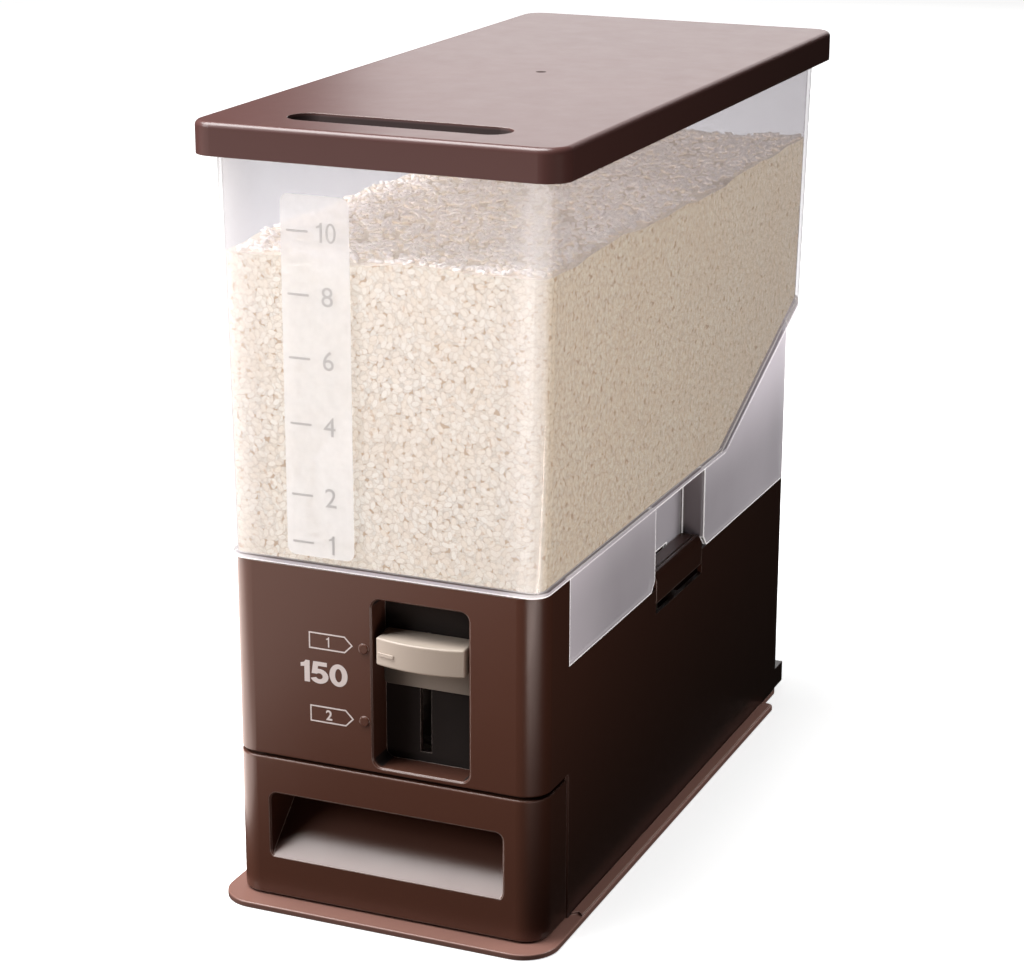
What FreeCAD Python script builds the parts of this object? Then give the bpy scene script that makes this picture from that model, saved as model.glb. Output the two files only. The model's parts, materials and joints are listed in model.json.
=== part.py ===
"""Rice dispenser with drawer: a hopper on a base whose press lever turns a measuring drum over a drawer.

Millimetres, +Z up, front towards -Y. The origin is the middle of the overall length and width, on the floor.
"""

import FreeCAD
import Part

import math
import os

# ---- driving dimensions ------------------------------------------------------------------------------------

# base: outer shell, foot plate and column
base_width = 177.0
base_length = 404.2
base_corner_r = 14.0
base_wall = 2.5
seam_bevel = 1.5
column_edge_r = 0.8
foot_front_overhang = 12.3
foot_side_overhang = 7.3
foot_corner_r = 20.0
foot_thickness = 3.0
foot_edge_r = 0.8
foot_rear_setback = 36.0
foot_rear_corner_r = 4.0
foot_step_height = 1.2
foot_step_setback = 45.0
foot_step_taper = 4.0
pad_proud = 0.6
pad_r = 9.0
pad_depth = 1.0
pad_inset = 26.0
column_length = 36.7
skirt_height = 47.5
spacer_length = 4.4
spacer_width = 9.0
spacer_height = 13.0
spacer_lift = 1.0
spacer_edge_r = 1.5

# drawer
drawer_height = 79.4
drawer_face_gap = 1.8
drawer_wrap = 34.4
drawer_seam_gap = 1.8
drawer_shell_wall = 2.4
drawer_edge_r = 1.0
drawer_floor_gap = 1.0
pull_width = 134.0
pull_lift = 22.1
pull_height = 37.0
pull_lip = 0.2
pull_rear_gap = 0.4
pull_rise = 40.8
pull_corner_r = 4.0
tray_side_gap = 8.5
tray_length = 258.0
tray_top_gap = 4.9
tray_wall = 2.0
tray_corner_r = 8.0
tray_rim_width = 3.5
tray_flange_gap = 1.0
tray_skid_width = 4.0
tray_skid_spacing = 124.0
tray_skid_inset = 10.0
guide_rib_width = 1.2
guide_rib_height = 4.0
drawer_stop_width = 124.0
drawer_stop_height = 18.0
drawer_stop_thickness = 2.5

# deck over the drawer
deck_thickness = 2.2
deck_lift = 1.2
deck_ledge_height = 2.5
deck_ledge_width = 5.0
deck_clearance = 0.3
deck_overrun = 6.0
deck_rib_height = 6.0
deck_rib_width = 2.0

# lever recess, lever and rack
recess_width = 54.5
recess_center_x = 21.35
recess_lift = 3.0
recess_headroom = 20.3
recess_depth = 16.5
recess_wall = 2.0
recess_corner_r = 5.0
recess_rim = 0.8
stop_mark_r = 2.8
stop_mark_height = 0.9
stop_mark_edge_r = 0.7
stop_mark_inset = 4.6
lever_travel = 40.0
knob_side_gap = 2.55
knob_height = 15.0
knob_bow = 4.0
knob_wall = 2.2
knob_edge_r = 1.0
knob_bar_length = 10.2
knob_bar_height = 1.8
knob_bar_proud = 0.7
knob_bar_inset = 1.0
plate_drop = 15.0
plate_floor_gap = 2.2
plate_thickness = 2.0
plate_corner_r = 2.4
slot_width = 6.2
stem_inset = 2.3
stem_height = 26.0
rack_thickness = 10.0
rack_width = 12.0
rack_overrun = 7.0
rack_head_gap = 0.4
guide_wall = 2.4
guide_floor = 1.5
guide_lip_gap = 3.2
guide_flange_lift = 4.0
guide_screw_reach = 9.0
guide_screw_inset = 12.0

# measuring drum, its gear and its case
gear_module = 1.5
gear_teeth = 17
gear_pressure_angle = 20.0
gear_backlash = 0.15
pinion_width = 8.0
pinion_hub_r = 6.5
drum_r = 24.5
drum_length = 116.0
drum_wall = 2.0
drum_end_wall = 2.5
drum_mouth_half_angle = 40.0
drum_hub_r = 5.0
axle_r = 3.0
axle_flat = 0.6
axle_groove = 0.4
axle_end = 1.6
case_wall = 2.2
case_end_wall = 3.0
case_gap = 0.4
case_end_gap = 0.6
bearing_length = 6.0
bearing_setback = 5.4
bearing_boss_r = 7.5
bush_r = 5.0
bush_running_gap = 0.04
fit_gap = 0.05
throat_width = 31.0
throat_rise = 7.5
throat_flange = 4.5
throat_flange_thickness = 2.0
chute_width = 32.0
duct_end_margin = 1.4
case_foot_width = 60.0
case_foot_thickness = 2.4
case_foot_inset = 4.6
case_lug_r = 3.6
case_lug_length = 8.0
case_lug_offset = 1.4
clip_thickness = 0.8
clip_r = 5.2
seal_width = 3.6
seal_thickness = 2.0

# hopper, level scale and lid
works_headroom = 8.2
hopper_overhang = 0.3
hopper_flare = 2.9
hopper_length = 426.0
hopper_rear_draft = 7.5
hopper_height = 224.7
hopper_wall = 2.2
hopper_corner_r = 10.0
hopper_rim_width = 4.0
hopper_rim_thickness = 2.5
slope_start = 280.2
slope_angle = 24.0
funnel_width = 144.0
funnel_front = 40.0
funnel_rear_inset = 4.0
funnel_corner_r = 3.0
spout_length = 6.0
spout_wall = 1.6
spout_gap = 0.8
spout_corner_r = 2.0
skirt_thickness = 2.2
skirt_front_gap = 0.2
skirt_corner = 6.0
pocket_width = 81.4
pocket_depth = 13.5
catch_width = 30.0
catch_height = 4.0
tongue_thickness = 1.6
tongue_rise = 3.3
tongue_root = 6.0
tongue_setback = 3.0
scale_width = 37.8
scale_height = 187.5
scale_lift = 6.5
scale_center_x = -33.7
scale_thickness = 0.4
scale_corner_r = 4.5
lid_side_overhang = 9.0
lid_end_overhang = 7.2
lid_height = 17.0
lid_wall = 2.5
lid_corner_r = 13.0
lid_edge_r = 3.0
lid_lip_height = 6.5
lid_lip_gap = 0.6
lid_lip_thickness = 1.6
groove_length = 121.0
groove_width = 22.5
groove_depth = 10.5
groove_setback = 23.0
groove_draft = 1.5
groove_wall = 2.0

# side latches
latch_length = 75.0
latch_center_from_front = 203.8
latch_drop = 8.7
latch_rise = 8.3
latch_wall = 2.4
latch_round = 2.5
latch_gap = 0.6
latch_slot_height = 6.0
latch_pivot_drop = 3.7
latch_pivot_inset = 6.5
latch_pin_r = 1.5
latch_boss_r = 3.0
latch_rib = 3.0
latch_ear = 4.0
latch_groove_width = 1.0
latch_groove_inset = 2.0
nose_width = 26.0
nose_thickness = 1.6
spring_thickness = 0.4
spring_width = 10.0
spring_rest_gap = 0.7
spring_shelf_margin = 2.0
spring_shelf_thickness = 7.0
spring_post_width = 1.6
spring_post_inset = 4.0

# clearances and fasteners
seat_gap = 0.3
slide_gap = 0.3
screw_r = 1.5
screw_hole_gap = 0.2
screw_head_r = 2.7
screw_head_height = 1.8
screw_boss_r = 3.2
screw_length = 9.0
thread_r = 1.3

# ---- places worked out from them ---------------------------------------------------------------------------

total_length = foot_front_overhang + hopper_length + lid_end_overhang
foot_front_y = -total_length / 2
front_y = foot_front_y + foot_front_overhang
rear_y = front_y + base_length
base_half = base_width / 2
wall_x = base_half - base_wall
foot_half = base_half + foot_side_overhang
foot_top = pad_proud + foot_thickness
foot_rear_y = rear_y - foot_rear_setback

drawer_bottom = foot_top + drawer_floor_gap
drawer_top = drawer_bottom + drawer_height
column_bottom = drawer_top + drawer_face_gap
column_rear_y = front_y + column_length
drawer_rear_y = front_y + drawer_wrap
side_wall_front_y = drawer_rear_y + drawer_seam_gap
pull_bottom = drawer_bottom + pull_lift
pull_top = pull_bottom + pull_height
pull_depth = drawer_wrap - drawer_shell_wall - pull_rear_gap
pull_slope = math.tan(math.radians(pull_rise))

deck_bottom = column_bottom + deck_lift
deck_top = deck_bottom + deck_thickness
ledge_bottom = deck_bottom - deck_ledge_height

tray_half = wall_x - tray_side_gap
tray_flange_half = wall_x - tray_flange_gap
tray_top = ledge_bottom - tray_top_gap
tray_front_y = drawer_rear_y + slide_gap
tray_rear_y = tray_front_y + tray_length
deck_rear_y = tray_rear_y + deck_overrun

recess_left = recess_center_x - recess_width / 2
recess_right = recess_center_x + recess_width / 2
recess_bottom = column_bottom + recess_lift
recess_back_y = front_y + recess_depth
works_front_y = recess_back_y + base_wall
rack_front_y = works_front_y + slide_gap
rack_rear_y = rack_front_y + rack_thickness
plate_rear_y = recess_back_y - slide_gap
plate_front_y = plate_rear_y - plate_thickness
plate_bottom = recess_bottom + plate_floor_gap + lever_travel
knob_bottom = plate_bottom + plate_drop
knob_top = knob_bottom + knob_height
knob_width = recess_width - 2 * knob_side_gap
recess_top = knob_top + recess_headroom

axis_height = deck_top + guide_floor + slide_gap + lever_travel + rack_overrun
pitch_r = gear_module * gear_teeth / 2
gear_addendum = gear_module
gear_dedendum = 1.25 * gear_module
rack_root_x = pitch_r + gear_dedendum
rack_back_x = rack_root_x + rack_width
rack_bottom = axis_height - rack_overrun
rack_top = axis_height + lever_travel + rack_overrun
slot_center_x = rack_root_x + stem_inset
stem_top = knob_top - slide_gap
stem_bottom = stem_top - stem_height
slot_bottom = stem_bottom - lever_travel - slide_gap
slot_top = stem_top + slide_gap
lever_head_r = stem_inset - axle_groove / 4
column_height = rack_top + works_headroom
rim_height = column_height - skirt_height

pinion_front_y = rack_front_y + (rack_thickness - pinion_width) / 2
pinion_rear_y = pinion_front_y + pinion_width
case_inner_r = drum_r + case_gap
case_outer_r = case_inner_r + case_wall
bearing_front_y = rack_rear_y + bearing_setback
case_front_y = bearing_front_y + bearing_length - case_end_wall
drum_front_y = case_front_y + case_end_wall + case_end_gap
drum_rear_y = drum_front_y + drum_length
case_end_y = drum_rear_y + case_end_gap
bearing_rear_y = case_end_y + bearing_length
duct_front_y = drum_front_y + drum_end_wall + duct_end_margin
duct_rear_y = drum_rear_y - drum_end_wall - duct_end_margin
axle_front_y = pinion_front_y
axle_flat_end_y = bearing_front_y - case_gap
clip_y = bearing_rear_y + slide_gap
axle_rear_y = clip_y + clip_thickness + axle_end
throat_top = axis_height + drum_r + throat_rise
seal_top = throat_top + seal_thickness

hopper_floor = column_height + seat_gap
hopper_top = hopper_floor + hopper_height
hopper_rear_y = front_y + hopper_length
hopper_bottom_half = base_half + hopper_overhang
hopper_top_half = hopper_bottom_half + hopper_flare
slope_start_y = front_y + slope_start
slope_tangent = math.tan(math.radians(slope_angle))
spout_half = throat_width / 2 - spout_gap
spout_front_y = duct_front_y + spout_gap
spout_rear_y = duct_rear_y - spout_gap
funnel_bottom = seal_top + seat_gap
skirt_bottom = rim_height + seat_gap
skirt_front_y = column_rear_y + skirt_front_gap
scale_bottom = hopper_floor + scale_lift
lid_top = hopper_top + seat_gap + lid_wall
lid_bottom = lid_top - lid_height
lid_half = hopper_top_half + lid_side_overhang

latch_center_y = front_y + latch_center_from_front
latch_front_y = latch_center_y - latch_length / 2
latch_rear_y = latch_center_y + latch_length / 2
latch_bottom = rim_height - latch_drop
latch_top = rim_height + latch_rise
latch_pivot_height = rim_height - latch_pivot_drop
pocket_inner_x = base_half - pocket_depth
pivot_x = base_half - latch_pivot_inset
slot_floor = latch_bottom - latch_slot_height
spring_post_x = pivot_x - spring_post_inset
shelf_bottom = slot_floor - 1.0 - spring_shelf_thickness
shelf_top = slot_floor - 1.0

FAR = 2000.0


# ---- helpers -----------------------------------------------------------------------------------------------

def vec(x, y, z):
    return FreeCAD.Vector(x, y, z)


def block(x, y, z):
    """Box between the (low, high) pairs x, y and z."""
    return Part.makeBox(x[1] - x[0], y[1] - y[0], z[1] - z[0], vec(x[0], y[0], z[0]))


def around(center, width):
    """The (low, high) pair of a width about a centre."""
    return (center - width / 2, center + width / 2)


def polygon(points):
    """Closed wire through points."""
    return Part.makePolygon(points + points[:1])


def rounded_wire(x, y, radii, place):
    """Rectangle x by y with rounded corners. radii are for the low-y and high-y ends, place maps (x, y) to 3-D."""
    low, high = radii
    half = math.sqrt(0.5)
    corners = [
        (x[1] - low, y[0] + low, low, 1, -1),
        (x[1] - high, y[1] - high, high, 1, 1),
        (x[0] + high, y[1] - high, high, -1, 1),
        (x[0] + low, y[0] + low, low, -1, -1),
    ]
    arcs = []
    for cx, cy, r, sx, sy in corners:
        on_x = (cx + sx * r, cy)
        middle = (cx + sx * r * half, cy + sy * r * half)
        on_y = (cx, cy + sy * r)
        ordered = (on_y, middle, on_x) if sx * sy < 0 else (on_x, middle, on_y)
        arcs.append([place(*p) for p in ordered])
    edges = []
    for i, (start, middle, end) in enumerate(arcs):
        edges.append(Part.Arc(start, middle, end).toShape())
        edges.append(Part.LineSegment(end, arcs[(i + 1) % 4][0]).toShape())
    return Part.Wire(edges)


def flat_wire(x, y, z, radii):
    return rounded_wire(x, y, radii, lambda a, b: vec(a, b, z))


def upright_wire(x, z, y, r):
    """Rounded rectangle x by z that faces the front at y."""
    return rounded_wire(x, z, (r, r), lambda a, b: vec(a, y, b))


def slab(x, y, z, radii):
    """Prism of a rounded rectangle between two heights."""
    return Part.Face(flat_wire(x, y, z[0], radii)).extrude(vec(0, 0, z[1] - z[0]))


def upright_slab(x, z, y, r):
    """Prism of a rounded rectangle that faces the front, from y[0] back to y[1]."""
    return Part.Face(upright_wire(x, z, y[0], r)).extrude(vec(0, y[1] - y[0], 0))


def loft(*wires):
    return Part.makeLoft(list(wires), True, True)


def rod(r, y, x=0.0, z=axis_height):
    """Cylinder along Y at (x, z)."""
    return Part.makeCylinder(r, y[1] - y[0], vec(x, y[0], z), vec(0, 1, 0))


def post(r, z, x, y):
    """Upright cylinder."""
    return Part.makeCylinder(r, z[1] - z[0], vec(x, y, z[0]))


def side_prism(points, x):
    """Prism along X of an outline given as (y, z) points."""
    face = Part.Face(polygon([vec(x[0], y, z) for y, z in points]))
    return face.extrude(vec(x[1] - x[0], 0, 0))


def end_prism(points, y):
    """Prism along Y of an outline given as (x, z) points."""
    face = Part.Face(polygon([vec(px, y[0], pz) for px, pz in points]))
    return face.extrude(vec(0, y[1] - y[0], 0))


def join(first, *others):
    return first.fuse(list(others)).removeSplitter()


def carve(solid, *tools):
    return solid.cut(list(tools))


def fillet_at(solid, r, test):
    """Rounds the edges whose middle point passes the test."""
    edges = [e for e in solid.Edges if test(e.valueAt((e.FirstParameter + e.LastParameter) / 2))]
    return solid.makeFillet(r, edges)


def mirrored(solid):
    """The same piece on the other side of the object."""
    return solid.mirror(vec(0, 0, 0), vec(1, 0, 0))


def both_sides(solid):
    return Part.makeCompound([solid, mirrored(solid)])


def group(solids):
    return Part.makeCompound(solids)


def screw(head, direction, length=screw_length, head_r=screw_head_r):
    """Pan-head screw: head is the seat of the head, direction points along the shank."""
    away = direction.multiply(1.0)
    shank = Part.makeCylinder(screw_r, length, head, away)
    cap = Part.makeCylinder(head_r, screw_head_height, head, away.negative())
    return shank.fuse(cap).removeSplitter()


# ---- places of the fasteners -------------------------------------------------------------------------------

floor_screw_inset = 24.0
floor_screw_x = wall_x - screw_boss_r + screw_hole_gap
floor_screw_places = [
    (side * floor_screw_x, y)
    for side in (-1, 1)
    for y in (side_wall_front_y + floor_screw_inset / 2, tray_rear_y - 2 * floor_screw_inset,
              rear_y - floor_screw_inset)
]
deck_screw_inset = 12.0
deck_screw_x = wall_x - (deck_ledge_width + screw_r) / 2
deck_screw_places = [
    (side * deck_screw_x, y)
    for side in (-1, 1)
    for y in (column_rear_y + deck_screw_inset, latch_center_y, tray_rear_y - deck_screw_inset)
]
drawer_screw_inset = 10.0
drawer_screw_x = (tray_half + tray_flange_half) / 2
drawer_screw_places = [
    (side * drawer_screw_x, z)
    for side in (-1, 1)
    for z in (drawer_bottom + drawer_screw_inset, tray_top - drawer_screw_inset)
]
case_foot_x = case_foot_width / 2 - case_foot_inset
case_foot_places = [
    (side * case_foot_x, y)
    for side in (-1, 1)
    for y in (case_front_y + 2 * case_foot_inset, case_end_y - 2 * case_foot_inset)
]
case_lug_circle = case_outer_r + case_lug_offset
case_end_places = [
    (case_lug_circle * math.cos(angle), axis_height + case_lug_circle * math.sin(angle))
    for angle in map(math.radians, (15, 165, 205, 335))
]
guide_screw_x = rack_back_x + guide_screw_reach
guide_screw_places = [
    (guide_screw_x, z) for z in (recess_bottom + guide_screw_inset, recess_top - guide_screw_inset)
]
lever_screw_places = [
    (slot_center_x, z) for z in (stem_bottom + stem_height / 4, stem_top - stem_height / 4)
]


# ---- base --------------------------------------------------------------------------------------------------

def make_floor_plate():
    """Foot plate: a flange round the front and sides, with a raised step beside the housing."""
    flange = slab((-foot_half, foot_half), (foot_front_y, foot_rear_y), (pad_proud, foot_top),
                  (foot_corner_r, foot_rear_corner_r))
    flange = fillet_at(flange, foot_edge_r, lambda p: p.z > foot_top - 0.01)
    tail = slab((-base_half, base_half), (latch_center_y, rear_y), (pad_proud, foot_top), (1.0, base_corner_r))
    plate = join(flange, tail)

    step_front = front_y + foot_step_setback
    inner_x = base_half + slide_gap
    outer_x = foot_half - foot_edge_r
    notch = (outer_x - inner_x) / 2
    step = Part.Face(polygon([
        vec(inner_x, step_front - notch, foot_top),
        vec(inner_x + notch, step_front, foot_top),
        vec(outer_x, step_front - notch, foot_top),
        vec(outer_x, foot_rear_y - foot_step_taper, foot_top),
        vec(inner_x, foot_rear_y - 2 * foot_step_taper, foot_top),
    ])).extrude(vec(0, 0, foot_step_height))
    rib_inner = tray_half + slide_gap
    rib = block((rib_inner, rib_inner + guide_rib_width), (side_wall_front_y + tray_skid_inset, tray_rear_y),
                (foot_top, foot_top + guide_rib_height))
    stop_y = tray_rear_y + slide_gap
    stop = block(around(0, drawer_stop_width), (stop_y, stop_y + drawer_stop_thickness),
                 (foot_top, foot_top + drawer_stop_height))
    plate = join(plate, step, mirrored(step), rib, mirrored(rib), stop)

    holes = [post(screw_r + screw_hole_gap, (0, foot_top + 1), x, y) for x, y in floor_screw_places]
    sinks = [post(screw_head_r + screw_hole_gap, (0, pad_proud + screw_head_height), x, y)
             for x, y in floor_screw_places]
    pads = [post(pad_r + screw_hole_gap, (0, pad_proud + pad_depth), x, y) for x, y in pad_places()]
    return carve(plate, *holes, *sinks, *pads)


def pad_places():
    return [
        (side * (foot_half - pad_inset), y)
        for side in (-1, 1)
        for y in (foot_front_y + pad_inset, rear_y - pad_inset)
    ]


def make_foot_pads():
    return group([post(pad_r, (0, pad_proud + pad_depth), x, y) for x, y in pad_places()])


def make_floor_screws():
    seat = pad_proud + screw_head_height
    return group([screw(vec(x, y, seat), vec(0, 0, 1)) for x, y in floor_screw_places])


def on_base_outline(p):
    """Whether a point lies on the outer face of the base at its front or sides."""
    across = abs(p.x) - (base_half - base_corner_r)
    ahead = (front_y + base_corner_r) - p.y
    reach = base_corner_r - 0.3
    return across > reach or ahead > reach or (across > 0 and ahead > 0 and math.hypot(across, ahead) > reach)


def housing_shell():
    outer = slab((-base_half, base_half), (front_y, rear_y), (foot_top, column_height),
                 (base_corner_r, base_corner_r))
    above_rim = block((-FAR, FAR), (column_rear_y, FAR), (rim_height, FAR))
    for_drawer = block((-FAR, FAR), (-FAR, side_wall_front_y), (-FAR, column_bottom))
    outer = fillet_at(carve(outer, above_rim, for_drawer), column_edge_r,
                      lambda p: abs(p.z - column_bottom) < 0.01 and on_base_outline(p))
    inner_r = base_corner_r - base_wall
    inner = slab((-wall_x, wall_x), (front_y + base_wall, rear_y - base_wall), (foot_top - 1, column_height + 1),
                 (inner_r, inner_r))
    wedge = Part.Face(polygon([
        vec(base_half - seam_bevel, side_wall_front_y - 1, 0),
        vec(base_half - seam_bevel, side_wall_front_y, 0),
        vec(base_half + 1, side_wall_front_y + seam_bevel + 1, 0),
        vec(base_half + 1, side_wall_front_y - 1, 0),
    ])).extrude(vec(0, 0, column_bottom))
    return carve(outer, inner, wedge, mirrored(wedge))


def housing_tongue():
    """Ring inside the rim that locates the hopper's skirt, left open at the pockets of the latches."""
    outer_y = (column_rear_y + tongue_setback, rear_y - base_wall)
    outer_r = base_corner_r - base_wall
    height = (rim_height - tongue_root, rim_height + tongue_rise)
    inner_r = outer_r - tongue_thickness
    ring = carve(
        slab((-wall_x, wall_x), outer_y, height, (1.0, outer_r)),
        slab((-wall_x + tongue_thickness, wall_x - tongue_thickness),
             (outer_y[0] - 5.0, outer_y[1] - tongue_thickness), (height[0] - 1, height[1] + 1), (1.0, inner_r)),
    )
    gap = around(latch_center_y, pocket_width + 2 * skirt_thickness + 4 * seat_gap)
    return carve(ring, block((-FAR, FAR), gap, (0, FAR)))


def recess_box():
    walls = block((recess_left - recess_wall, recess_right + recess_wall), (front_y + base_wall / 2, works_front_y),
                  (recess_bottom - recess_wall, recess_top + recess_wall))
    bosses = [
        rod(screw_boss_r, (works_front_y, works_front_y + guide_flange_lift), x, z)
        for x, z in guide_screw_places
    ]
    return walls.fuse(bosses)


def recess_space():
    x = (recess_left, recess_right)
    z = (recess_bottom, recess_top)
    space = upright_slab(x, z, (front_y - 1, recess_back_y), recess_corner_r)
    flare = loft(
        upright_wire((x[0] - recess_rim, x[1] + recess_rim), (z[0] - recess_rim, z[1] + recess_rim), front_y,
                     recess_corner_r + recess_rim),
        upright_wire(x, z, front_y + recess_rim, recess_corner_r),
    )
    slot = block(around(slot_center_x, slot_width), (front_y, works_front_y + 1), (slot_bottom, slot_top))
    return space, flare, slot


def stop_marks():
    """Raised round marks beside the recess at the lever's two positions."""
    knob_middle = knob_bottom + knob_height / 2
    face_y = front_y - stop_mark_height
    return [
        fillet_at(rod(stop_mark_r, (face_y, front_y + base_wall / 2), recess_left - stop_mark_inset, z),
                  stop_mark_edge_r, lambda p: p.y < face_y + 0.01)
        for z in (knob_middle, knob_middle - lever_travel)
    ]


def latch_supports():
    """Ears for the latch's pin and the post of its spring, on the right wall."""
    ear_x = (pivot_x - latch_boss_r - latch_gap, wall_x)
    ear_z = (latch_pivot_height - latch_boss_r - latch_pin_r, rim_height - seat_gap)
    front_ear = block(ear_x, (latch_front_y - latch_gap - latch_ear, latch_front_y - latch_gap), ear_z)
    rear_ear = block(ear_x, (latch_rear_y + latch_gap, latch_rear_y + latch_gap + latch_ear), ear_z)
    y = around(latch_center_y, spring_width + 2 * spring_shelf_margin)
    shelf = block((spring_post_x, wall_x), y, (shelf_bottom, shelf_top))
    spring_post = block((spring_post_x, spring_post_x + spring_post_width), y,
                        (shelf_bottom, latch_pivot_height - latch_boss_r - 1.0))
    return front_ear.fuse([rear_ear, shelf, spring_post])


def wall_spacer():
    """Low lug on the rear corner that keeps the base off the wall behind it, on the right."""
    back_y = rear_y + spacer_length
    z = (foot_top + spacer_lift, foot_top + spacer_lift + spacer_height)
    lug = block((base_half - spacer_width, base_half), (rear_y - base_corner_r, back_y), z)
    lug = fillet_at(lug, spacer_edge_r, lambda p: p.y > back_y - 0.01)
    inner_r = base_corner_r - base_wall
    return carve(lug, slab((-wall_x, wall_x), (front_y, rear_y - base_wall), (0, FAR), (inner_r, inner_r)))


def make_base_housing():
    """Outer shell with the column and its lever recess, the rim, the ledges, the bosses and the wall spacers."""
    ledge = block((wall_x - deck_ledge_width, wall_x), (column_rear_y, deck_rear_y), (ledge_bottom, deck_bottom))
    spacer = wall_spacer()
    boss_top = foot_top + screw_length + screw_r
    bosses = [post(screw_boss_r, (foot_top, boss_top), x, y) for x, y in floor_screw_places]
    supports = latch_supports()
    solid = join(housing_shell(), housing_tongue(), recess_box(), ledge, mirrored(ledge), spacer, mirrored(spacer),
                 supports, mirrored(supports), *bosses, *stop_marks())

    latch_y = (latch_front_y - latch_gap, latch_rear_y + latch_gap)
    latch_window = block((wall_x - 0.5, FAR), latch_y, (slot_floor, FAR))
    pin_bore = rod(latch_pin_r + fit_gap, around(latch_center_y, latch_length + 4 * latch_ear), pivot_x,
                   latch_pivot_height)
    hole_r = screw_r + screw_hole_gap
    floor_holes = [post(hole_r, (0, boss_top - 1.0), x, y) for x, y in floor_screw_places]
    deck_holes = [post(hole_r, (ledge_bottom - 1, deck_bottom + 1), x, y) for x, y in deck_screw_places]
    guide_holes = [rod(hole_r, (works_front_y - 1.2, works_front_y + guide_flange_lift + 1), x, z)
                   for x, z in guide_screw_places]
    return carve(solid, *recess_space(), latch_window, mirrored(latch_window), pin_bore, mirrored(pin_bore),
                 *floor_holes, *deck_holes, *guide_holes)


def make_deck():
    """Floor of the works, with the opening that the rice falls through."""
    half = wall_x - deck_clearance
    plate = slab((-half, half), (front_y + base_wall + deck_clearance, deck_rear_y), (deck_bottom, deck_top),
                 (base_corner_r - base_wall, deck_thickness))
    rib_half = half - deck_ledge_width
    ribs = [
        block((-rib_half, rib_half), around(y, deck_rib_width), (deck_top - 0.5, deck_top + deck_rib_height))
        for y in (bearing_rear_y + 3 * deck_rib_height, tray_rear_y)
    ]
    recess_notch = block(
        (recess_left - recess_wall - deck_clearance, recess_right + recess_wall + deck_clearance),
        (-FAR, works_front_y + deck_clearance), (0, FAR))
    opening = block(around(0, chute_width), (duct_front_y, duct_rear_y), (0, FAR))
    hole_r = screw_r + screw_hole_gap
    holes = [post(hole_r, (deck_bottom - 1, deck_top + 1), x, y) for x, y in deck_screw_places + case_foot_places]
    return carve(join(plate, *ribs), recess_notch, opening, *holes)


def make_deck_screws():
    return group([screw(vec(x, y, deck_top), vec(0, 0, -1), length=deck_thickness + deck_ledge_height)
                  for x, y in deck_screw_places])


# ---- drawer ------------------------------------------------------------------------------------------------

def under_pull(front, back, lip_z, drop):
    """Space under the pull pocket's sloped floor, from y front to back; lip_z is the floor's height at the front."""
    back_z = lip_z + (back - front) * pull_slope
    low_z = pull_bottom - drop
    return side_prism([(front, low_z), (front, lip_z), (back, back_z), (back + 1, back_z), (back + 1, low_z)],
                      (-FAR, FAR))


def pull_space():
    """Pull pocket: a rounded mouth whose floor climbs backwards."""
    back_y = front_y + pull_depth
    mouth = upright_slab(around(0, pull_width), (pull_bottom, pull_top), (front_y - 1, back_y), pull_corner_r)
    return carve(mouth, under_pull(front_y, back_y, pull_bottom + pull_lip, 1.0))


def pull_shell():
    """Walls round the pull pocket inside the drawer's front."""
    wall = drawer_shell_wall
    back_y = front_y + pull_depth + wall
    body = upright_slab(around(0, pull_width + 2 * wall), (pull_bottom - wall, pull_top + wall),
                        (front_y + 0.5, back_y), pull_corner_r + wall)
    start_y = front_y + wall
    lip_z = pull_bottom + pull_lip + wall * pull_slope - wall / math.cos(math.radians(pull_rise))
    return carve(body, under_pull(start_y, back_y, lip_z, 2 * wall))


def make_drawer_front():
    """Front of the drawer: a shell open at the back that wraps round the base's corners."""
    x = (-base_half, base_half)
    z = (drawer_bottom, drawer_top)
    wall = drawer_shell_wall
    outer = slab(x, (front_y, drawer_rear_y + base_corner_r), z, (base_corner_r, 1.0))
    outer = fillet_at(outer, drawer_edge_r,
                      lambda p: (abs(p.z - z[0]) < 0.01 or abs(p.z - z[1]) < 0.01) and on_base_outline(p))
    outer = carve(outer, block((-FAR, FAR), (drawer_rear_y, FAR), (-FAR, FAR)))
    hollow = slab((x[0] + wall, x[1] - wall), (front_y + wall, FAR), (z[0] + wall, z[1] - wall),
                  (base_corner_r - wall, 1.0))
    bosses = [rod(screw_boss_r, (front_y + base_corner_r / 2, drawer_rear_y), bx, bz)
              for bx, bz in drawer_screw_places]
    solid = join(carve(outer, hollow), pull_shell(), *bosses)
    holes = [rod(screw_r + screw_hole_gap, (drawer_rear_y - screw_length, drawer_rear_y + 1), bx, bz)
             for bx, bz in drawer_screw_places]
    flare = loft(
        upright_wire(around(0, pull_width + 2 * recess_rim), (pull_bottom - recess_rim, pull_top + recess_rim),
                     front_y, pull_corner_r + recess_rim),
        upright_wire(around(0, pull_width), (pull_bottom, pull_top), front_y + recess_rim, pull_corner_r),
    )
    flare = carve(flare, under_pull(front_y - 1, front_y + pull_depth, pull_bottom + pull_lip - pull_slope, 2 * wall))
    outline = slab(x, (front_y, FAR), (z[0] - 1, z[1] + 1), (base_corner_r, 1.0))
    return carve(solid, pull_space(), flare, *holes).common(outline)


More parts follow.
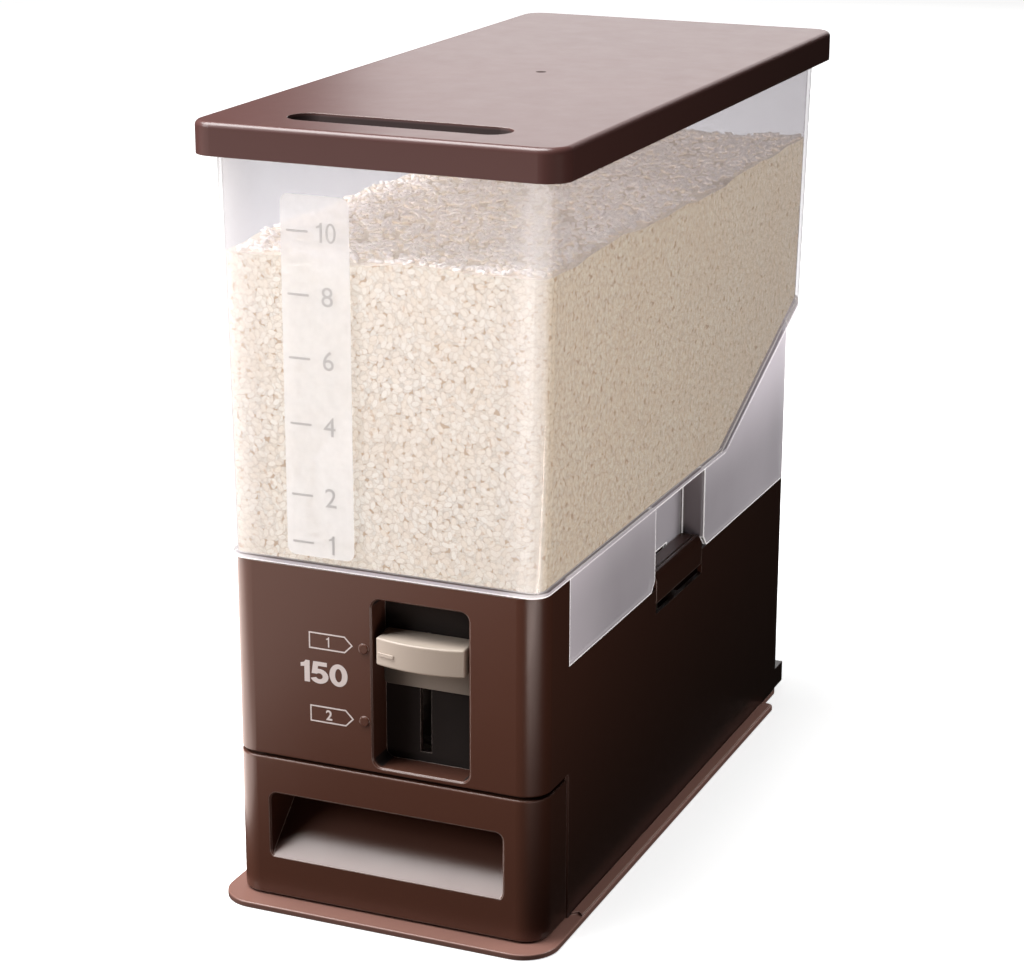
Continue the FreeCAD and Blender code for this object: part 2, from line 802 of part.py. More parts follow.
def make_drawer_tray():
    """Tray that catches the rice, with a flange that screws to the drawer's front and two skids below."""
    half = tray_half
    wall = tray_wall
    floor = drawer_bottom
    body = slab((-half, half), (tray_front_y, tray_rear_y), (floor, tray_top), (wall, tray_corner_r))
    space = slab((-half + wall, half - wall), (tray_front_y + wall, tray_rear_y - wall), (floor + wall, tray_top + 1),
                 (wall / 2, tray_corner_r - wall))
    flange = block((-tray_flange_half, tray_flange_half), (tray_front_y, tray_front_y + wall), (floor, tray_top))
    lip = tray_rim_width
    rim = carve(
        slab((-half, half), (tray_front_y, tray_rear_y), (tray_top - wall, tray_top), (wall, tray_corner_r)),
        slab((-half + lip, half - lip), (tray_front_y + lip, tray_rear_y - lip), (tray_top - wall - 1, tray_top + 1),
             (wall / 2, tray_corner_r - wall)),
    )
    skids = [
        block(around(side * tray_skid_spacing / 2, tray_skid_width),
              (tray_front_y + tray_skid_inset, tray_rear_y - tray_skid_inset), (foot_top + slide_gap, floor + 0.5))
        for side in (-1, 1)
    ]
    solid = join(carve(body, space), flange, rim, *skids)
    holes = [rod(screw_r + screw_hole_gap, (tray_front_y - 1, tray_front_y + wall + 1), x, z)
             for x, z in drawer_screw_places]
    return carve(solid, *holes)


def make_drawer_screws():
    seat = tray_front_y + tray_wall
    return group([screw(vec(x, seat, z), vec(0, -1, 0), length=screw_length) for x, z in drawer_screw_places])


# ---- lever and rack ----------------------------------------------------------------------------------------

def bowed_block(x, back_y, face_y, bow, z):
    """Block whose front face bows forward between its two front corners."""
    left, right = x
    front = Part.Arc(vec(left, face_y, z[0]), vec((left + right) / 2, face_y - bow, z[0]), vec(right, face_y, z[0]))
    path = [
        front.toShape(),
        Part.LineSegment(vec(right, face_y, z[0]), vec(right, back_y, z[0])).toShape(),
        Part.LineSegment(vec(right, back_y, z[0]), vec(left, back_y, z[0])).toShape(),
        Part.LineSegment(vec(left, back_y, z[0]), vec(left, face_y, z[0])).toShape(),
    ]
    return Part.Face(Part.Wire(path)).extrude(vec(0, 0, z[1] - z[0]))


def make_lever_knob():
    """Press lever: bowed hollow knob, back plate that covers the slot, and the stem that goes through it."""
    x = around(recess_center_x, knob_width)
    z = (knob_bottom, knob_top)
    join_depth = plate_thickness / 4
    knob = bowed_block(x, plate_front_y + join_depth, front_y, knob_bow, z)
    knob = fillet_at(knob, knob_edge_r, lambda p: p.y < plate_front_y - 1)
    hollow = bowed_block((x[0] + knob_wall, x[1] - knob_wall), plate_front_y, front_y + knob_wall, knob_bow,
                         (z[0] - 1, z[1] - knob_wall))
    knob = carve(knob, hollow)
    rib = block(around(recess_center_x, knob_wall), (front_y - knob_bow + knob_wall, plate_front_y),
                (z[0] + knob_wall, z[1] - knob_wall / 2))
    plate_x = around(recess_center_x, recess_width - 2 * slide_gap)
    plate = upright_slab(plate_x, (plate_bottom, knob_top), (plate_front_y, plate_rear_y), plate_corner_r)
    stem = block(around(slot_center_x, slot_width - 2 * slide_gap), (plate_rear_y - 1, rack_front_y),
                 (stem_bottom, stem_top))
    bar_x = x[0] + knob_bar_inset
    bar_z = knob_bottom + knob_height / 2 - knob_bar_inset
    bar_face = bowed_block(x, plate_front_y, front_y - knob_bar_proud, knob_bow, z)
    bar = bar_face.common(upright_slab((bar_x, bar_x + knob_bar_length), around(bar_z, knob_bar_height),
                                       (front_y - 2 * knob_bow, front_y + knob_wall / 2), knob_bar_height / 2 - 0.05))
    solid = join(knob, rib, plate, stem, bar)
    holes = [rod(thread_r, (rack_front_y - screw_length, rack_front_y + 1), hx, hz)
             for hx, hz in lever_screw_places]
    return carve(solid, *holes)


def rack_tooth(z):
    """Straight-sided tooth that points at the pinion, about height z."""
    lean = math.tan(math.radians(gear_pressure_angle))
    half = math.pi * gear_module / 4 - gear_backlash / 2
    root = half + gear_dedendum * lean
    tip = half - gear_addendum * lean
    return end_prism([
        (rack_root_x + 0.5, z - root), (rack_root_x, z - root), (pitch_r - gear_addendum, z - tip),
        (pitch_r - gear_addendum, z + tip), (rack_root_x, z + root), (rack_root_x + 0.5, z + root),
    ], (rack_front_y, rack_rear_y))


def make_lever_rack():
    """Toothed slide behind the recess wall. One tooth stands level with the drum's axis."""
    pitch = math.pi * gear_module
    bar = block((rack_root_x, rack_back_x), (rack_front_y, rack_rear_y), (rack_bottom, rack_top))
    low = math.ceil((rack_bottom - axis_height) / pitch)
    high = math.floor((rack_top - axis_height) / pitch)
    teeth = [rack_tooth(axis_height + i * pitch) for i in range(low, high + 1)]
    window = block((0, FAR), (-FAR, FAR), (rack_bottom, rack_top))
    solid = join(bar, *teeth).common(window)
    holes = [rod(thread_r, (rack_front_y - 1, rack_rear_y + 1), x, z) for x, z in lever_screw_places]
    sinks = [rod(lever_head_r + 2 * fit_gap, (rack_rear_y - screw_head_height, rack_rear_y + 1), x, z)
             for x, z in lever_screw_places]
    return carve(solid, *holes, *sinks)


def make_lever_screws():
    """Thin screws from behind, sunk in the rack, that hold the knob's stem."""
    solids = []
    for x, z in lever_screw_places:
        head = rod(lever_head_r, (rack_rear_y - screw_head_height, rack_rear_y - screw_hole_gap), x, z)
        shank = rod(thread_r - screw_hole_gap, (rack_front_y - screw_length + 1, rack_rear_y - 1), x, z)
        solids.append(head.fuse(shank).removeSplitter())
    return group(solids)


def make_rack_guide():
    """Channel that keeps the rack in mesh, with a stop at each end of its travel."""
    wall = guide_wall
    z = (deck_top, rack_top + rack_head_gap + wall)
    side_x = (rack_back_x + slide_gap, rack_back_x + slide_gap + wall)
    rear = (rack_rear_y + slide_gap, rack_rear_y + slide_gap + wall)
    lip_x = pitch_r + gear_addendum + guide_lip_gap
    side_wall = block(side_x, (works_front_y, rear[1]), z)
    rear_wall = block((lip_x, side_x[1]), rear, z)
    top_stop = block((lip_x, side_x[1]), (works_front_y, rear[1]), (rack_top + rack_head_gap, z[1]))
    low_stop = block((lip_x, side_x[1]), (works_front_y, rear[1]), (z[0], z[0] + guide_floor))
    flange_y = works_front_y + guide_flange_lift
    flange = block((side_x[0] + wall / 2, guide_screw_x + screw_boss_r), (flange_y, flange_y + wall),
                   (recess_bottom + recess_corner_r, recess_top - recess_corner_r))
    solid = join(side_wall, rear_wall, top_stop, low_stop, flange)
    holes = [rod(screw_r + screw_hole_gap, (flange_y - 1, flange_y + wall + 1), x, z0)
             for x, z0 in guide_screw_places]
    return carve(solid, *holes)


def make_guide_screws():
    seat = works_front_y + guide_flange_lift + guide_wall
    return group([screw(vec(x, seat, z), vec(0, -1, 0), length=guide_flange_lift + guide_wall)
                  for x, z in guide_screw_places])


# ---- measuring drum ----------------------------------------------------------------------------------------

def involute_flank(base_r, outer_r, steps=5):
    """(radius, angle) pairs along an involute from the base circle to the outer circle."""
    pairs = []
    for i in range(steps + 1):
        r = base_r + (outer_r - base_r) * i / steps
        roll = math.sqrt(max((r / base_r) ** 2 - 1, 0.0))
        pairs.append((r, roll - math.atan(roll)))
    return pairs


def gear_outline():
    """Closed (x, z) outline of the spur gear, with a tooth gap facing +X."""
    pressure = math.radians(gear_pressure_angle)
    base_r = pitch_r * math.cos(pressure)
    outer_r = pitch_r + gear_addendum
    root_r = pitch_r - gear_dedendum
    half_pitch_tooth = math.pi / (2 * gear_teeth) - gear_backlash / (2 * pitch_r)
    half_base_tooth = half_pitch_tooth + math.tan(pressure) - pressure
    flank = involute_flank(base_r, outer_r)
    points = []
    for i in range(gear_teeth):
        middle = 2 * math.pi * (i + 0.5) / gear_teeth
        rising = [(root_r, middle - half_base_tooth)] + [(r, middle - half_base_tooth + a) for r, a in flank]
        falling = [(r, 2 * middle - angle) for r, angle in reversed(rising)]
        points += rising + falling
    return [(r * math.cos(a), axis_height + r * math.sin(a)) for r, a in points]


def axle_profile(r, y):
    """Shaft with the flat that drives the pinion and the drum."""
    flat = block((r - axle_flat, r + 5), (y[0] - 1, y[1] + 1), (axis_height - r - 5, axis_height + r + 5))
    return carve(rod(r, y), flat)


def make_drum_pinion():
    """Pinion of the measuring drum, with a hub that runs up to the bearing."""
    gear = end_prism(gear_outline(), (pinion_front_y, pinion_rear_y))
    hub = rod(pinion_hub_r, (pinion_rear_y - pinion_width / 4, axle_flat_end_y))
    return carve(join(gear, hub), axle_profile(axle_r + fit_gap, (pinion_front_y - 1, bearing_front_y)))


def make_drum_axle():
    flat_end = axle_profile(axle_r, (axle_front_y, axle_flat_end_y))
    shaft = rod(axle_r, (axle_flat_end_y, axle_rear_y))
    groove = carve(rod(axle_r + 1, (clip_y, clip_y + clip_thickness + fit_gap)),
                   rod(axle_r - axle_groove, (clip_y - 1, clip_y + clip_thickness + 1)))
    return carve(join(flat_end, shaft), groove)


def make_axle_clip():
    """Retaining ring behind the rear bearing."""
    y = (clip_y, clip_y + clip_thickness)
    ring = carve(rod(clip_r, y), rod(axle_r - axle_groove + fit_gap, (y[0] - 1, y[1] + 1)))
    mouth = end_prism([(0, axis_height), (-clip_r, axis_height + clip_r * 1.6), (clip_r, axis_height + clip_r * 1.6)],
                      (y[0] - 1, y[1] + 1))
    return carve(ring, mouth)


def make_measuring_drum():
    """Drum whose mouth is up to fill and is turned down to empty. It holds one measure."""
    y = (drum_front_y, drum_rear_y)
    drum = rod(drum_r, y)
    space = rod(drum_r - drum_wall, (y[0] + drum_end_wall, y[1] - drum_end_wall))
    reach = drum_r * 1.6
    half = math.radians(drum_mouth_half_angle)
    mouth = end_prism([(0, axis_height), (-reach * math.sin(half), axis_height + reach * math.cos(half)),
                       (reach * math.sin(half), axis_height + reach * math.cos(half))],
                      (y[0] + drum_end_wall, y[1] - drum_end_wall))
    hub = rod(drum_hub_r, y)
    solid = join(carve(drum, space, mouth), hub)
    return carve(solid, rod(axle_r + fit_gap, (y[0] - 1, y[1] + 1)))


def duct(width, z, wall=0.0):
    """Rectangular passage for the rice, or its outside when a wall is given."""
    return block(around(0, width + 2 * wall), (duct_front_y - wall, duct_rear_y + wall), z)


def make_drum_case():
    """Case of the drum: barrel, front bearing, inlet throat and outlet chute that stands on the deck."""
    barrel = rod(case_outer_r, (case_front_y, case_end_y))
    boss = rod(bearing_boss_r, (bearing_front_y, case_front_y + 1))
    inlet = duct(throat_width, (axis_height, throat_top), case_wall)
    flange = duct(throat_width, (throat_top - throat_flange_thickness, throat_top), throat_flange)
    chute = duct(chute_width, (deck_top, axis_height), case_wall)
    foot = block(around(0, case_foot_width), (case_front_y, case_end_y), (deck_top, deck_top + case_foot_thickness))
    lugs = [rod(case_lug_r, (case_end_y - case_lug_length, case_end_y), x, z) for x, z in case_end_places]
    solid = join(barrel, boss, inlet, flange, chute, foot, *lugs)
    cylinder = rod(case_inner_r, (case_front_y + case_end_wall, case_end_y + 1))
    hole_r = screw_r + screw_hole_gap
    foot_holes = [post(hole_r, (0, deck_top + 5), x, y) for x, y in case_foot_places]
    lug_holes = [rod(hole_r, (case_end_y - case_lug_length + 1, case_end_y + 1), x, z)
                 for x, z in case_end_places]
    bore = rod(bush_r + fit_gap, (bearing_front_y - 1, case_front_y + case_end_wall + 1))
    return carve(solid, cylinder, bore, duct(throat_width, (axis_height, FAR)), duct(chute_width, (0, axis_height)),
                 *foot_holes, *lug_holes)


def make_drum_case_end():
    """Rear cover of the case, with the rear bearing."""
    disc = rod(case_outer_r, (case_end_y, case_end_y + case_end_wall))
    boss = rod(bearing_boss_r, (case_end_y, bearing_rear_y))
    lugs = [rod(case_lug_r, (case_end_y, case_end_y + case_end_wall), x, z) for x, z in case_end_places]
    solid = join(disc, boss, *lugs)
    holes = [rod(screw_r + screw_hole_gap, (case_end_y - 1, case_end_y + 9), x, z) for x, z in case_end_places]
    return carve(solid, rod(bush_r + fit_gap, (case_end_y - 1, bearing_rear_y + 1)), *holes)


def make_case_screws():
    """Screws of the case's rear cover and of its foot on the deck."""
    rear = [screw(vec(x, case_end_y + case_end_wall, z), vec(0, -1, 0), length=screw_length)
            for x, z in case_end_places]
    foot_length = case_foot_thickness + deck_thickness
    foot = [screw(vec(x, y, deck_top + case_foot_thickness), vec(0, 0, -1), length=foot_length)
            for x, y in case_foot_places]
    return group(rear + foot)


def make_bush(y):
    """Plain bearing of the axle between two y values."""
    return carve(rod(bush_r, y), rod(axle_r + bush_running_gap, (y[0] - 1, y[1] + 1)))


def make_inlet_seal():
    """Soft ring on the throat that closes the joint to the hopper's spout."""
    z = (throat_top, seal_top)
    return carve(duct(throat_width, z, seal_width), duct(throat_width, (z[0] - 1, z[1] + 1)))


# ---- hopper and lid ----------------------------------------------------------------------------------------

def above_floor(flat_lift, slope_lift):
    """Everything above the flat floor and above the slope that climbs from it to the rear, each raised by its lift."""
    flat_z = hopper_floor + flat_lift
    slope_z = hopper_floor + slope_lift
    knee_y = slope_start_y + (flat_z - slope_z) / slope_tangent
    end_y = slope_start_y + FAR
    return side_prism([(-FAR, flat_z), (knee_y, flat_z), (end_y, slope_z + FAR * slope_tangent), (end_y, 2 * FAR),
                       (-FAR, 2 * FAR)], (-FAR, FAR))


def hopper_body(inset, floor, top):
    """Tapered body of the hopper, inset by a wall, between two heights."""
    def section(z):
        share = (z - hopper_floor) / hopper_height
        half = hopper_bottom_half + (hopper_top_half - hopper_bottom_half) * share - inset
        rear = hopper_rear_y - hopper_rear_draft * (1 - share) - inset
        r = hopper_corner_r - inset
        return flat_wire((-half, half), (front_y + inset, rear), z, (r, r))
    return loft(section(floor), section(top))


def hopper_outside():
    return hopper_body(0.0, hopper_floor, hopper_top).common(above_floor(0.0, 0.0))


def hopper_inside():
    slope_lift = hopper_wall / math.cos(math.radians(slope_angle))
    return hopper_body(hopper_wall, hopper_floor, hopper_top + 1).common(above_floor(hopper_wall, slope_lift))


def funnel(offset, lift):
    """Funnel under the floor, as its inside (offset 0) or its outside (offset one wall)."""
    top_half = funnel_width / 2 + offset
    top_y = (front_y + funnel_front - offset, slope_start_y - funnel_rear_inset + offset)
    spout_x = spout_half - spout_wall + offset
    spout_y = (spout_front_y + spout_wall - offset, spout_rear_y - spout_wall + offset)
    top_z = hopper_floor + lift
    low_z = funnel_bottom + lift
    round_r = (spout_corner_r, spout_corner_r)
    cone = loft(flat_wire((-top_half, top_half), top_y, top_z, (funnel_corner_r, funnel_corner_r)),
                flat_wire((-spout_x, spout_x), spout_y, low_z, round_r))
    neck = slab((-spout_x, spout_x), spout_y, (funnel_bottom - spout_length - lift, low_z), round_r)
    return cone.fuse(neck)


def latch_pocket(grow):
    """Space of one latch pocket in the skirt, grown by a wall."""
    return block((pocket_inner_x - grow, FAR), around(latch_center_y, pocket_width + 2 * grow), (-FAR, FAR))


def hopper_skirt():
    """Frosted wall under the hopper that stands on the base, with a pocket for each latch."""
    z = (skirt_bottom, hopper_floor + FAR)
    outer = slab((-base_half, base_half), (front_y, rear_y), z, (1.0, base_corner_r))
    inner_r = base_corner_r - skirt_thickness
    inner = slab((-base_half + skirt_thickness, base_half - skirt_thickness), (front_y - 5, rear_y - skirt_thickness),
                 (z[0] - 1, z[1] + 1), (1.0, inner_r))
    outer_pocket = latch_pocket(0.0)
    inner_pocket = latch_pocket(skirt_thickness)
    outer = carve(outer, outer_pocket, mirrored(outer_pocket))
    inner = carve(inner, inner_pocket, mirrored(inner_pocket))
    before = block((-FAR, FAR), (-FAR, skirt_front_y), (-FAR, FAR))
    skirt = carve(outer, inner, before)

    corners = [skirt_corner_cut(-1), skirt_corner_cut(1)]
    catch_z = latch_top - latch_wall / 2
    catch = block((pocket_inner_x - 2 * skirt_thickness, pocket_inner_x + 1), around(latch_center_y, catch_width),
                  around(catch_z, catch_height))
    return carve(skirt, catch, mirrored(catch), *corners, *[mirrored(cut) for cut in corners])


def skirt_corner_cut(side):
    """Bevel on the skirt's lower corner beside a latch pocket. side is -1 at its front and 1 at its rear."""
    edge_y = latch_center_y + side * pocket_width / 2
    return side_prism([
        (edge_y + side * skirt_corner, skirt_bottom - 1), (edge_y - side, skirt_bottom + skirt_corner + 1),
        (edge_y - side, skirt_bottom - 1),
    ], (base_half - skirt_thickness - 0.2, FAR))


def make_hopper():
    """One clear moulding: tapered bin with a sloped rear, funnel and spout, and the frosted skirt below."""
    rim_half = hopper_top_half + hopper_rim_width
    rim = slab((-rim_half, rim_half), (front_y - hopper_rim_width, hopper_rear_y + hopper_rim_width),
               (hopper_top - hopper_rim_thickness, hopper_top), (hopper_corner_r + hopper_rim_width,) * 2)
    outside = hopper_outside()
    skirt = carve(hopper_skirt(), above_floor(0.0, 0.0))
    solid = outside.fuse([rim, skirt, funnel(hopper_wall, 0.0)])
    return carve(solid, hopper_inside(), funnel(0.0, hopper_wall)).removeSplitter()


def make_level_scale():
    """Frosted strip on the hopper's front that carries the level marks."""
    return upright_slab(around(scale_center_x, scale_width), (scale_bottom, scale_bottom + scale_height),
                        (front_y - scale_thickness, front_y), scale_corner_r)


def stadium(length, width, y, z, draft):
    """Long groove with round ends across the lid; draft narrows its bottom."""
    wires = []
    for height, inset in ((z[0], draft), (z[1], 0.0)):
        r = width / 2 - inset - 0.01
        wires.append(flat_wire(around(0, length - 2 * inset), around(y, width - 2 * inset), height, (r, r)))
    return loft(*wires)


def make_lid():
    """Lid with a skirt round the hopper's rim, a lip in its mouth and a finger groove near the front."""
    y = (front_y - lid_end_overhang, hopper_rear_y + lid_end_overhang)
    outer = slab((-lid_half, lid_half), y, (lid_bottom, lid_top), (lid_corner_r, lid_corner_r))
    outer = fillet_at(outer, lid_edge_r, lambda p: p.z > lid_top - 0.01)
    inner_half = lid_half - lid_wall
    inner_r = lid_corner_r - lid_wall
    under = lid_top - lid_wall
    hollow = slab((-inner_half, inner_half), (y[0] + lid_wall, y[1] - lid_wall), (lid_bottom - 1, under),
                  (inner_r, inner_r))
    lip_inset = hopper_wall + lid_lip_gap
    lip_half = hopper_top_half - lip_inset
    lip_y = (front_y + lip_inset, hopper_rear_y - lip_inset)
    lip_r = hopper_corner_r - lip_inset
    lip = slab((-lip_half, lip_half), lip_y, (under - lid_lip_height, under + 0.5), (lip_r, lip_r))
    lip_space = slab((-lip_half + lid_lip_thickness, lip_half - lid_lip_thickness),
                     (lip_y[0] + lid_lip_thickness, lip_y[1] - lid_lip_thickness), (under - lid_lip_height - 1, under),
                     (lip_r - lid_lip_thickness,) * 2)
    groove_y = y[0] + groove_setback + groove_width / 2
    wall = groove_wall
    pan = stadium(groove_length + 2 * wall, groove_width + 2 * wall, groove_y,
                  (lid_top - groove_depth - wall, lid_top - lid_wall / 2), groove_draft)
    groove = stadium(groove_length, groove_width, groove_y, (lid_top - groove_depth, lid_top + 0.01), groove_draft)
    shell = join(carve(outer, hollow), carve(lip, lip_space), pan)
    return carve(shell, groove)


# ---- side latches ------------------------------------------------------------------------------------------

def make_latch():
    """Right latch: an angle piece whose ledge reaches to the hopper's pocket and whose ribs carry the pivot."""
    outer_x = base_half
    inner_x = outer_x - latch_wall
    ledge_inner_x = pocket_inner_x + 2 * seat_gap
    round_start = latch_top - 2 * latch_round
    y = (latch_front_y, latch_rear_y)
    body = Part.Wire([
        Part.LineSegment(vec(outer_x, y[0], latch_bottom), vec(outer_x, y[0], round_start)).toShape(),
        Part.Arc(vec(outer_x, y[0], round_start),
                 vec(outer_x - latch_round * 0.35, y[0], latch_top - latch_round * 0.8),
                 vec(outer_x - latch_round, y[0], latch_top)).toShape(),
        Part.LineSegment(vec(outer_x - latch_round, y[0], latch_top), vec(ledge_inner_x, y[0], latch_top)).toShape(),
        Part.LineSegment(vec(ledge_inner_x, y[0], latch_top),
                         vec(ledge_inner_x, y[0], latch_top - latch_wall)).toShape(),
        Part.LineSegment(vec(ledge_inner_x, y[0], latch_top - latch_wall),
                         vec(inner_x, y[0], latch_top - latch_wall)).toShape(),
        Part.LineSegment(vec(inner_x, y[0], latch_top - latch_wall), vec(inner_x, y[0], latch_bottom + 1.0)).toShape(),
        Part.LineSegment(vec(inner_x, y[0], latch_bottom + 1.0), vec(outer_x, y[0], latch_bottom)).toShape(),
    ])
    angle = Part.Face(body).extrude(vec(0, y[1] - y[0], 0))
    rib_starts = (y[0], latch_center_y - spring_width, latch_center_y + spring_width - latch_rib, y[1] - latch_rib)
    ribs = []
    for start in rib_starts:
        rib_y = (start, start + latch_rib)
        ribs.append(end_prism([
            (inner_x + 0.5, latch_pivot_height - latch_boss_r), (pivot_x, latch_pivot_height - latch_boss_r),
            (pivot_x - latch_boss_r, latch_top - latch_wall), (pivot_x - latch_boss_r, latch_top - latch_wall + 0.5),
            (inner_x + 0.5, latch_top - latch_wall + 0.5),
        ], rib_y))
        ribs.append(rod(latch_boss_r, rib_y, pivot_x, latch_pivot_height))
    nose_top = latch_top - (latch_wall - nose_thickness)
    nose = block((pocket_inner_x + seat_gap, ledge_inner_x + 0.5), around(latch_center_y, nose_width),
                 (nose_top - nose_thickness, nose_top))
    inset = latch_groove_inset
    groove = block(around(outer_x - latch_round - inset, latch_groove_width), (y[0] + inset, y[1] - inset),
                   (latch_top - latch_groove_width / 2, latch_top + 1))
    bore = rod(latch_pin_r + bush_running_gap, (y[0] - 1, y[1] + 1), pivot_x, latch_pivot_height)
    return carve(join(angle, nose, *ribs), groove, bore)


def make_latch_pin():
    reach = latch_length / 2 + latch_gap + latch_ear
    return rod(latch_pin_r, (latch_center_y - reach, latch_center_y + reach), pivot_x, latch_pivot_height)


def make_latch_spring():
    """Leaf spring on its post that presses the latch's lower edge outwards."""
    post_x = spring_post_x + spring_post_width
    tip_x = base_half - latch_wall - spring_rest_gap
    t = spring_thickness
    foot_z = shelf_top + t
    tip_z = latch_bottom + 5 * t
    return end_prism([
        (post_x, shelf_top), (post_x + 5 * t, shelf_top), (tip_x, tip_z - 5 * t), (tip_x, tip_z), (tip_x - t, tip_z),
        (tip_x - t, tip_z - 4 * t), (post_x + 4 * t, foot_z), (post_x + t, foot_z),
        (post_x + t, foot_z + spring_width / 2), (post_x, foot_z + spring_width / 2),
    ], around(latch_center_y, spring_width))


# ---- all nodes ---------------------------------------------------------------------------------------------

def build():
    latch = make_latch()
    pin = make_latch_pin()
    spring = make_latch_spring()
    return {
        "floor_plate": make_floor_plate(),
        "foot_pads": make_foot_pads(),
        "floor_screws": make_floor_screws(),
        "base_housing": make_base_housing(),
        "deck": make_deck(),
        "deck_screws": make_deck_screws(),
        "drawer_front": make_drawer_front(),
        "drawer_tray": make_drawer_tray(),
        "drawer_screws": make_drawer_screws(),
        "lever_knob": make_lever_knob(),
        "lever_rack": make_lever_rack(),
        "lever_screws": make_lever_screws(),
        "rack_guide": make_rack_guide(),
        "guide_screws": make_guide_screws(),
        "drum_pinion": make_drum_pinion(),
        "drum_axle": make_drum_axle(),
        "axle_clip": make_axle_clip(),
        "measuring_drum": make_measuring_drum(),
        "drum_case": make_drum_case(),
        "drum_case_end": make_drum_case_end(),
        "case_screws": make_case_screws(),
        "bush_front": make_bush((bearing_front_y, case_front_y + case_end_wall)),
        "bush_rear": make_bush((case_end_y, bearing_rear_y)),
        "inlet_seal": make_inlet_seal(),
        "hopper": make_hopper(),
        "level_scale": make_level_scale(),
        "lid": make_lid(),
        "latch_right": latch,
        "latch_left": mirrored(latch),
        "latch_pins": both_sides(pin),
        "latch_springs": both_sides(spring),
    }


os.makedirs("parts", exist_ok=True)
for name, shape in build().items():
    shape.exportStep("parts/" + name + ".step")
    box = shape.BoundBox
    print(f"{name:16s} solids {len(shape.Solids):2d} valid {shape.isValid()} volume {shape.Volume / 1000:8.2f} cm3"
          f"  x {box.XMin:7.2f} {box.XMax:7.2f}  y {box.YMin:7.2f} {box.YMax:7.2f}  z {box.ZMin:7.2f} {box.ZMax:7.2f}")
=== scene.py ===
"""Rice dispenser with drawer: its finishes, prints, level marks and rice, and a studio round it.

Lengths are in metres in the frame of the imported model: +X right, +Y back, +Z up, floor at Z 0.
"""

import json
import math

import bpy
import numpy as np
from mathutils import Matrix, Vector

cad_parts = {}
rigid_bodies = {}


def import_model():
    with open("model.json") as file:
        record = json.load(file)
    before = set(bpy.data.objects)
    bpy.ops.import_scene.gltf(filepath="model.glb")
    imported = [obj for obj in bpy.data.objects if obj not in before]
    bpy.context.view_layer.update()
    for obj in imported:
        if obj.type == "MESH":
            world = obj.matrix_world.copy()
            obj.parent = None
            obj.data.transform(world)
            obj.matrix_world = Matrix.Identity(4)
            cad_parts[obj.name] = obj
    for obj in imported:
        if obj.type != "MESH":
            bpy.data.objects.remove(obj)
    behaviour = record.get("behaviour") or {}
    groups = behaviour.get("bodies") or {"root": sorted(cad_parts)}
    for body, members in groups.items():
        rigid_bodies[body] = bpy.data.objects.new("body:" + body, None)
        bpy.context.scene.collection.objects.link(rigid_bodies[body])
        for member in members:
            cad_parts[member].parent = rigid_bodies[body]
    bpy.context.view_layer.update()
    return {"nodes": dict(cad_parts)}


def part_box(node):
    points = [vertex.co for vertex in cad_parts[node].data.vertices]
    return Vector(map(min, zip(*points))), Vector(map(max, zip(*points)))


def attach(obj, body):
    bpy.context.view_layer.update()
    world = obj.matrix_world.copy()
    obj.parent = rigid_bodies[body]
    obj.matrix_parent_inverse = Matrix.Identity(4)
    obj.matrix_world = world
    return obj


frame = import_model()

bl_info = {
    "name": "Rice Dispenser with Drawer",
    "version": (1, 0, 0),
    "blender": (4, 5, 0),
    "location": "View3D > Sidebar > Dispenser",
    "description": "Finishes, prints and fills a rice dispenser and sets up its studio",
    "category": "Object",
}

MM = 0.001


def mm(*lengths):
    """Lengths in millimetres as metres."""
    return tuple(length * MM for length in lengths)


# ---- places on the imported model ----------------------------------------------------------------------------

LID_TOP = 421.0 * MM
FRONT_Y = -210.45 * MM  # the front face that base and hopper share
WALL = 2.2 * MM
HOPPER_FLOOR = 193.5 * MM
HOPPER_CORNER = 10.0 * MM
SLOPE_START_Y = 69.75 * MM  # where the hopper's floor starts to climb towards the rear
SLOPE_TANGENT = math.tan(math.radians(24.0))

RECESS_X, RECESS_Y, RECESS_Z = mm(-6.0, 48.7), mm(-210.0, -190.0), mm(88.7, 181.4)
KNOB_SHADE_TOP = 146.0 * MM  # the lever's back plate lies in the knob's shade below this
GROOVE_X, GROOVE_Y = mm(-61.5, 61.5), mm(-197.0, -172.0)
# middle and radius of a small round spot on the lid's top that its finish darkens
LID_SPOT_X, LID_SPOT_Y = mm(1.0, -4.0)
LID_SPOT_RADIUS = 3.2 * MM


# ---- shader maths ------------------------------------------------------------------------------------------

class Signal:
    """One shader socket that Python's operators work on, adding Math nodes."""

    def __init__(self, finish, socket):
        self.finish = finish
        self.socket = socket

    def math(self, operation, *others):
        inputs = dict(enumerate((self, *others)))
        return self.finish.signal("ShaderNodeMath", {"operation": operation}, inputs)

    def __add__(self, other):
        return self.math("ADD", other)

    __radd__ = __add__

    def __mul__(self, other):
        return self.math("MULTIPLY", other)

    __rmul__ = __mul__

    def __sub__(self, other):
        return self.math("SUBTRACT", other)

    def __rsub__(self, other):
        return self.finish.signal("ShaderNodeMath", {"operation": "SUBTRACT"}, {0: other, 1: self})

    def __truediv__(self, other):
        return self.math("DIVIDE", other)

    def __gt__(self, other):
        return self.math("GREATER_THAN", other)

    def __lt__(self, other):
        return self.math("LESS_THAN", other)

    def __abs__(self):
        return self.math("ABSOLUTE")

    def power(self, exponent):
        return self.math("POWER", exponent)

    def at_least(self, low):
        return self.math("MAXIMUM", low)

    def at_most(self, high):
        return self.math("MINIMUM", high)

    def fade(self, start, end):
        """0 at start and before it, 1 at end and after it, smooth between."""
        inputs = {"Value": self, "From Min": start, "From Max": end}
        return self.finish.signal("ShaderNodeMapRange", {"interpolation_type": "SMOOTHSTEP"}, inputs)


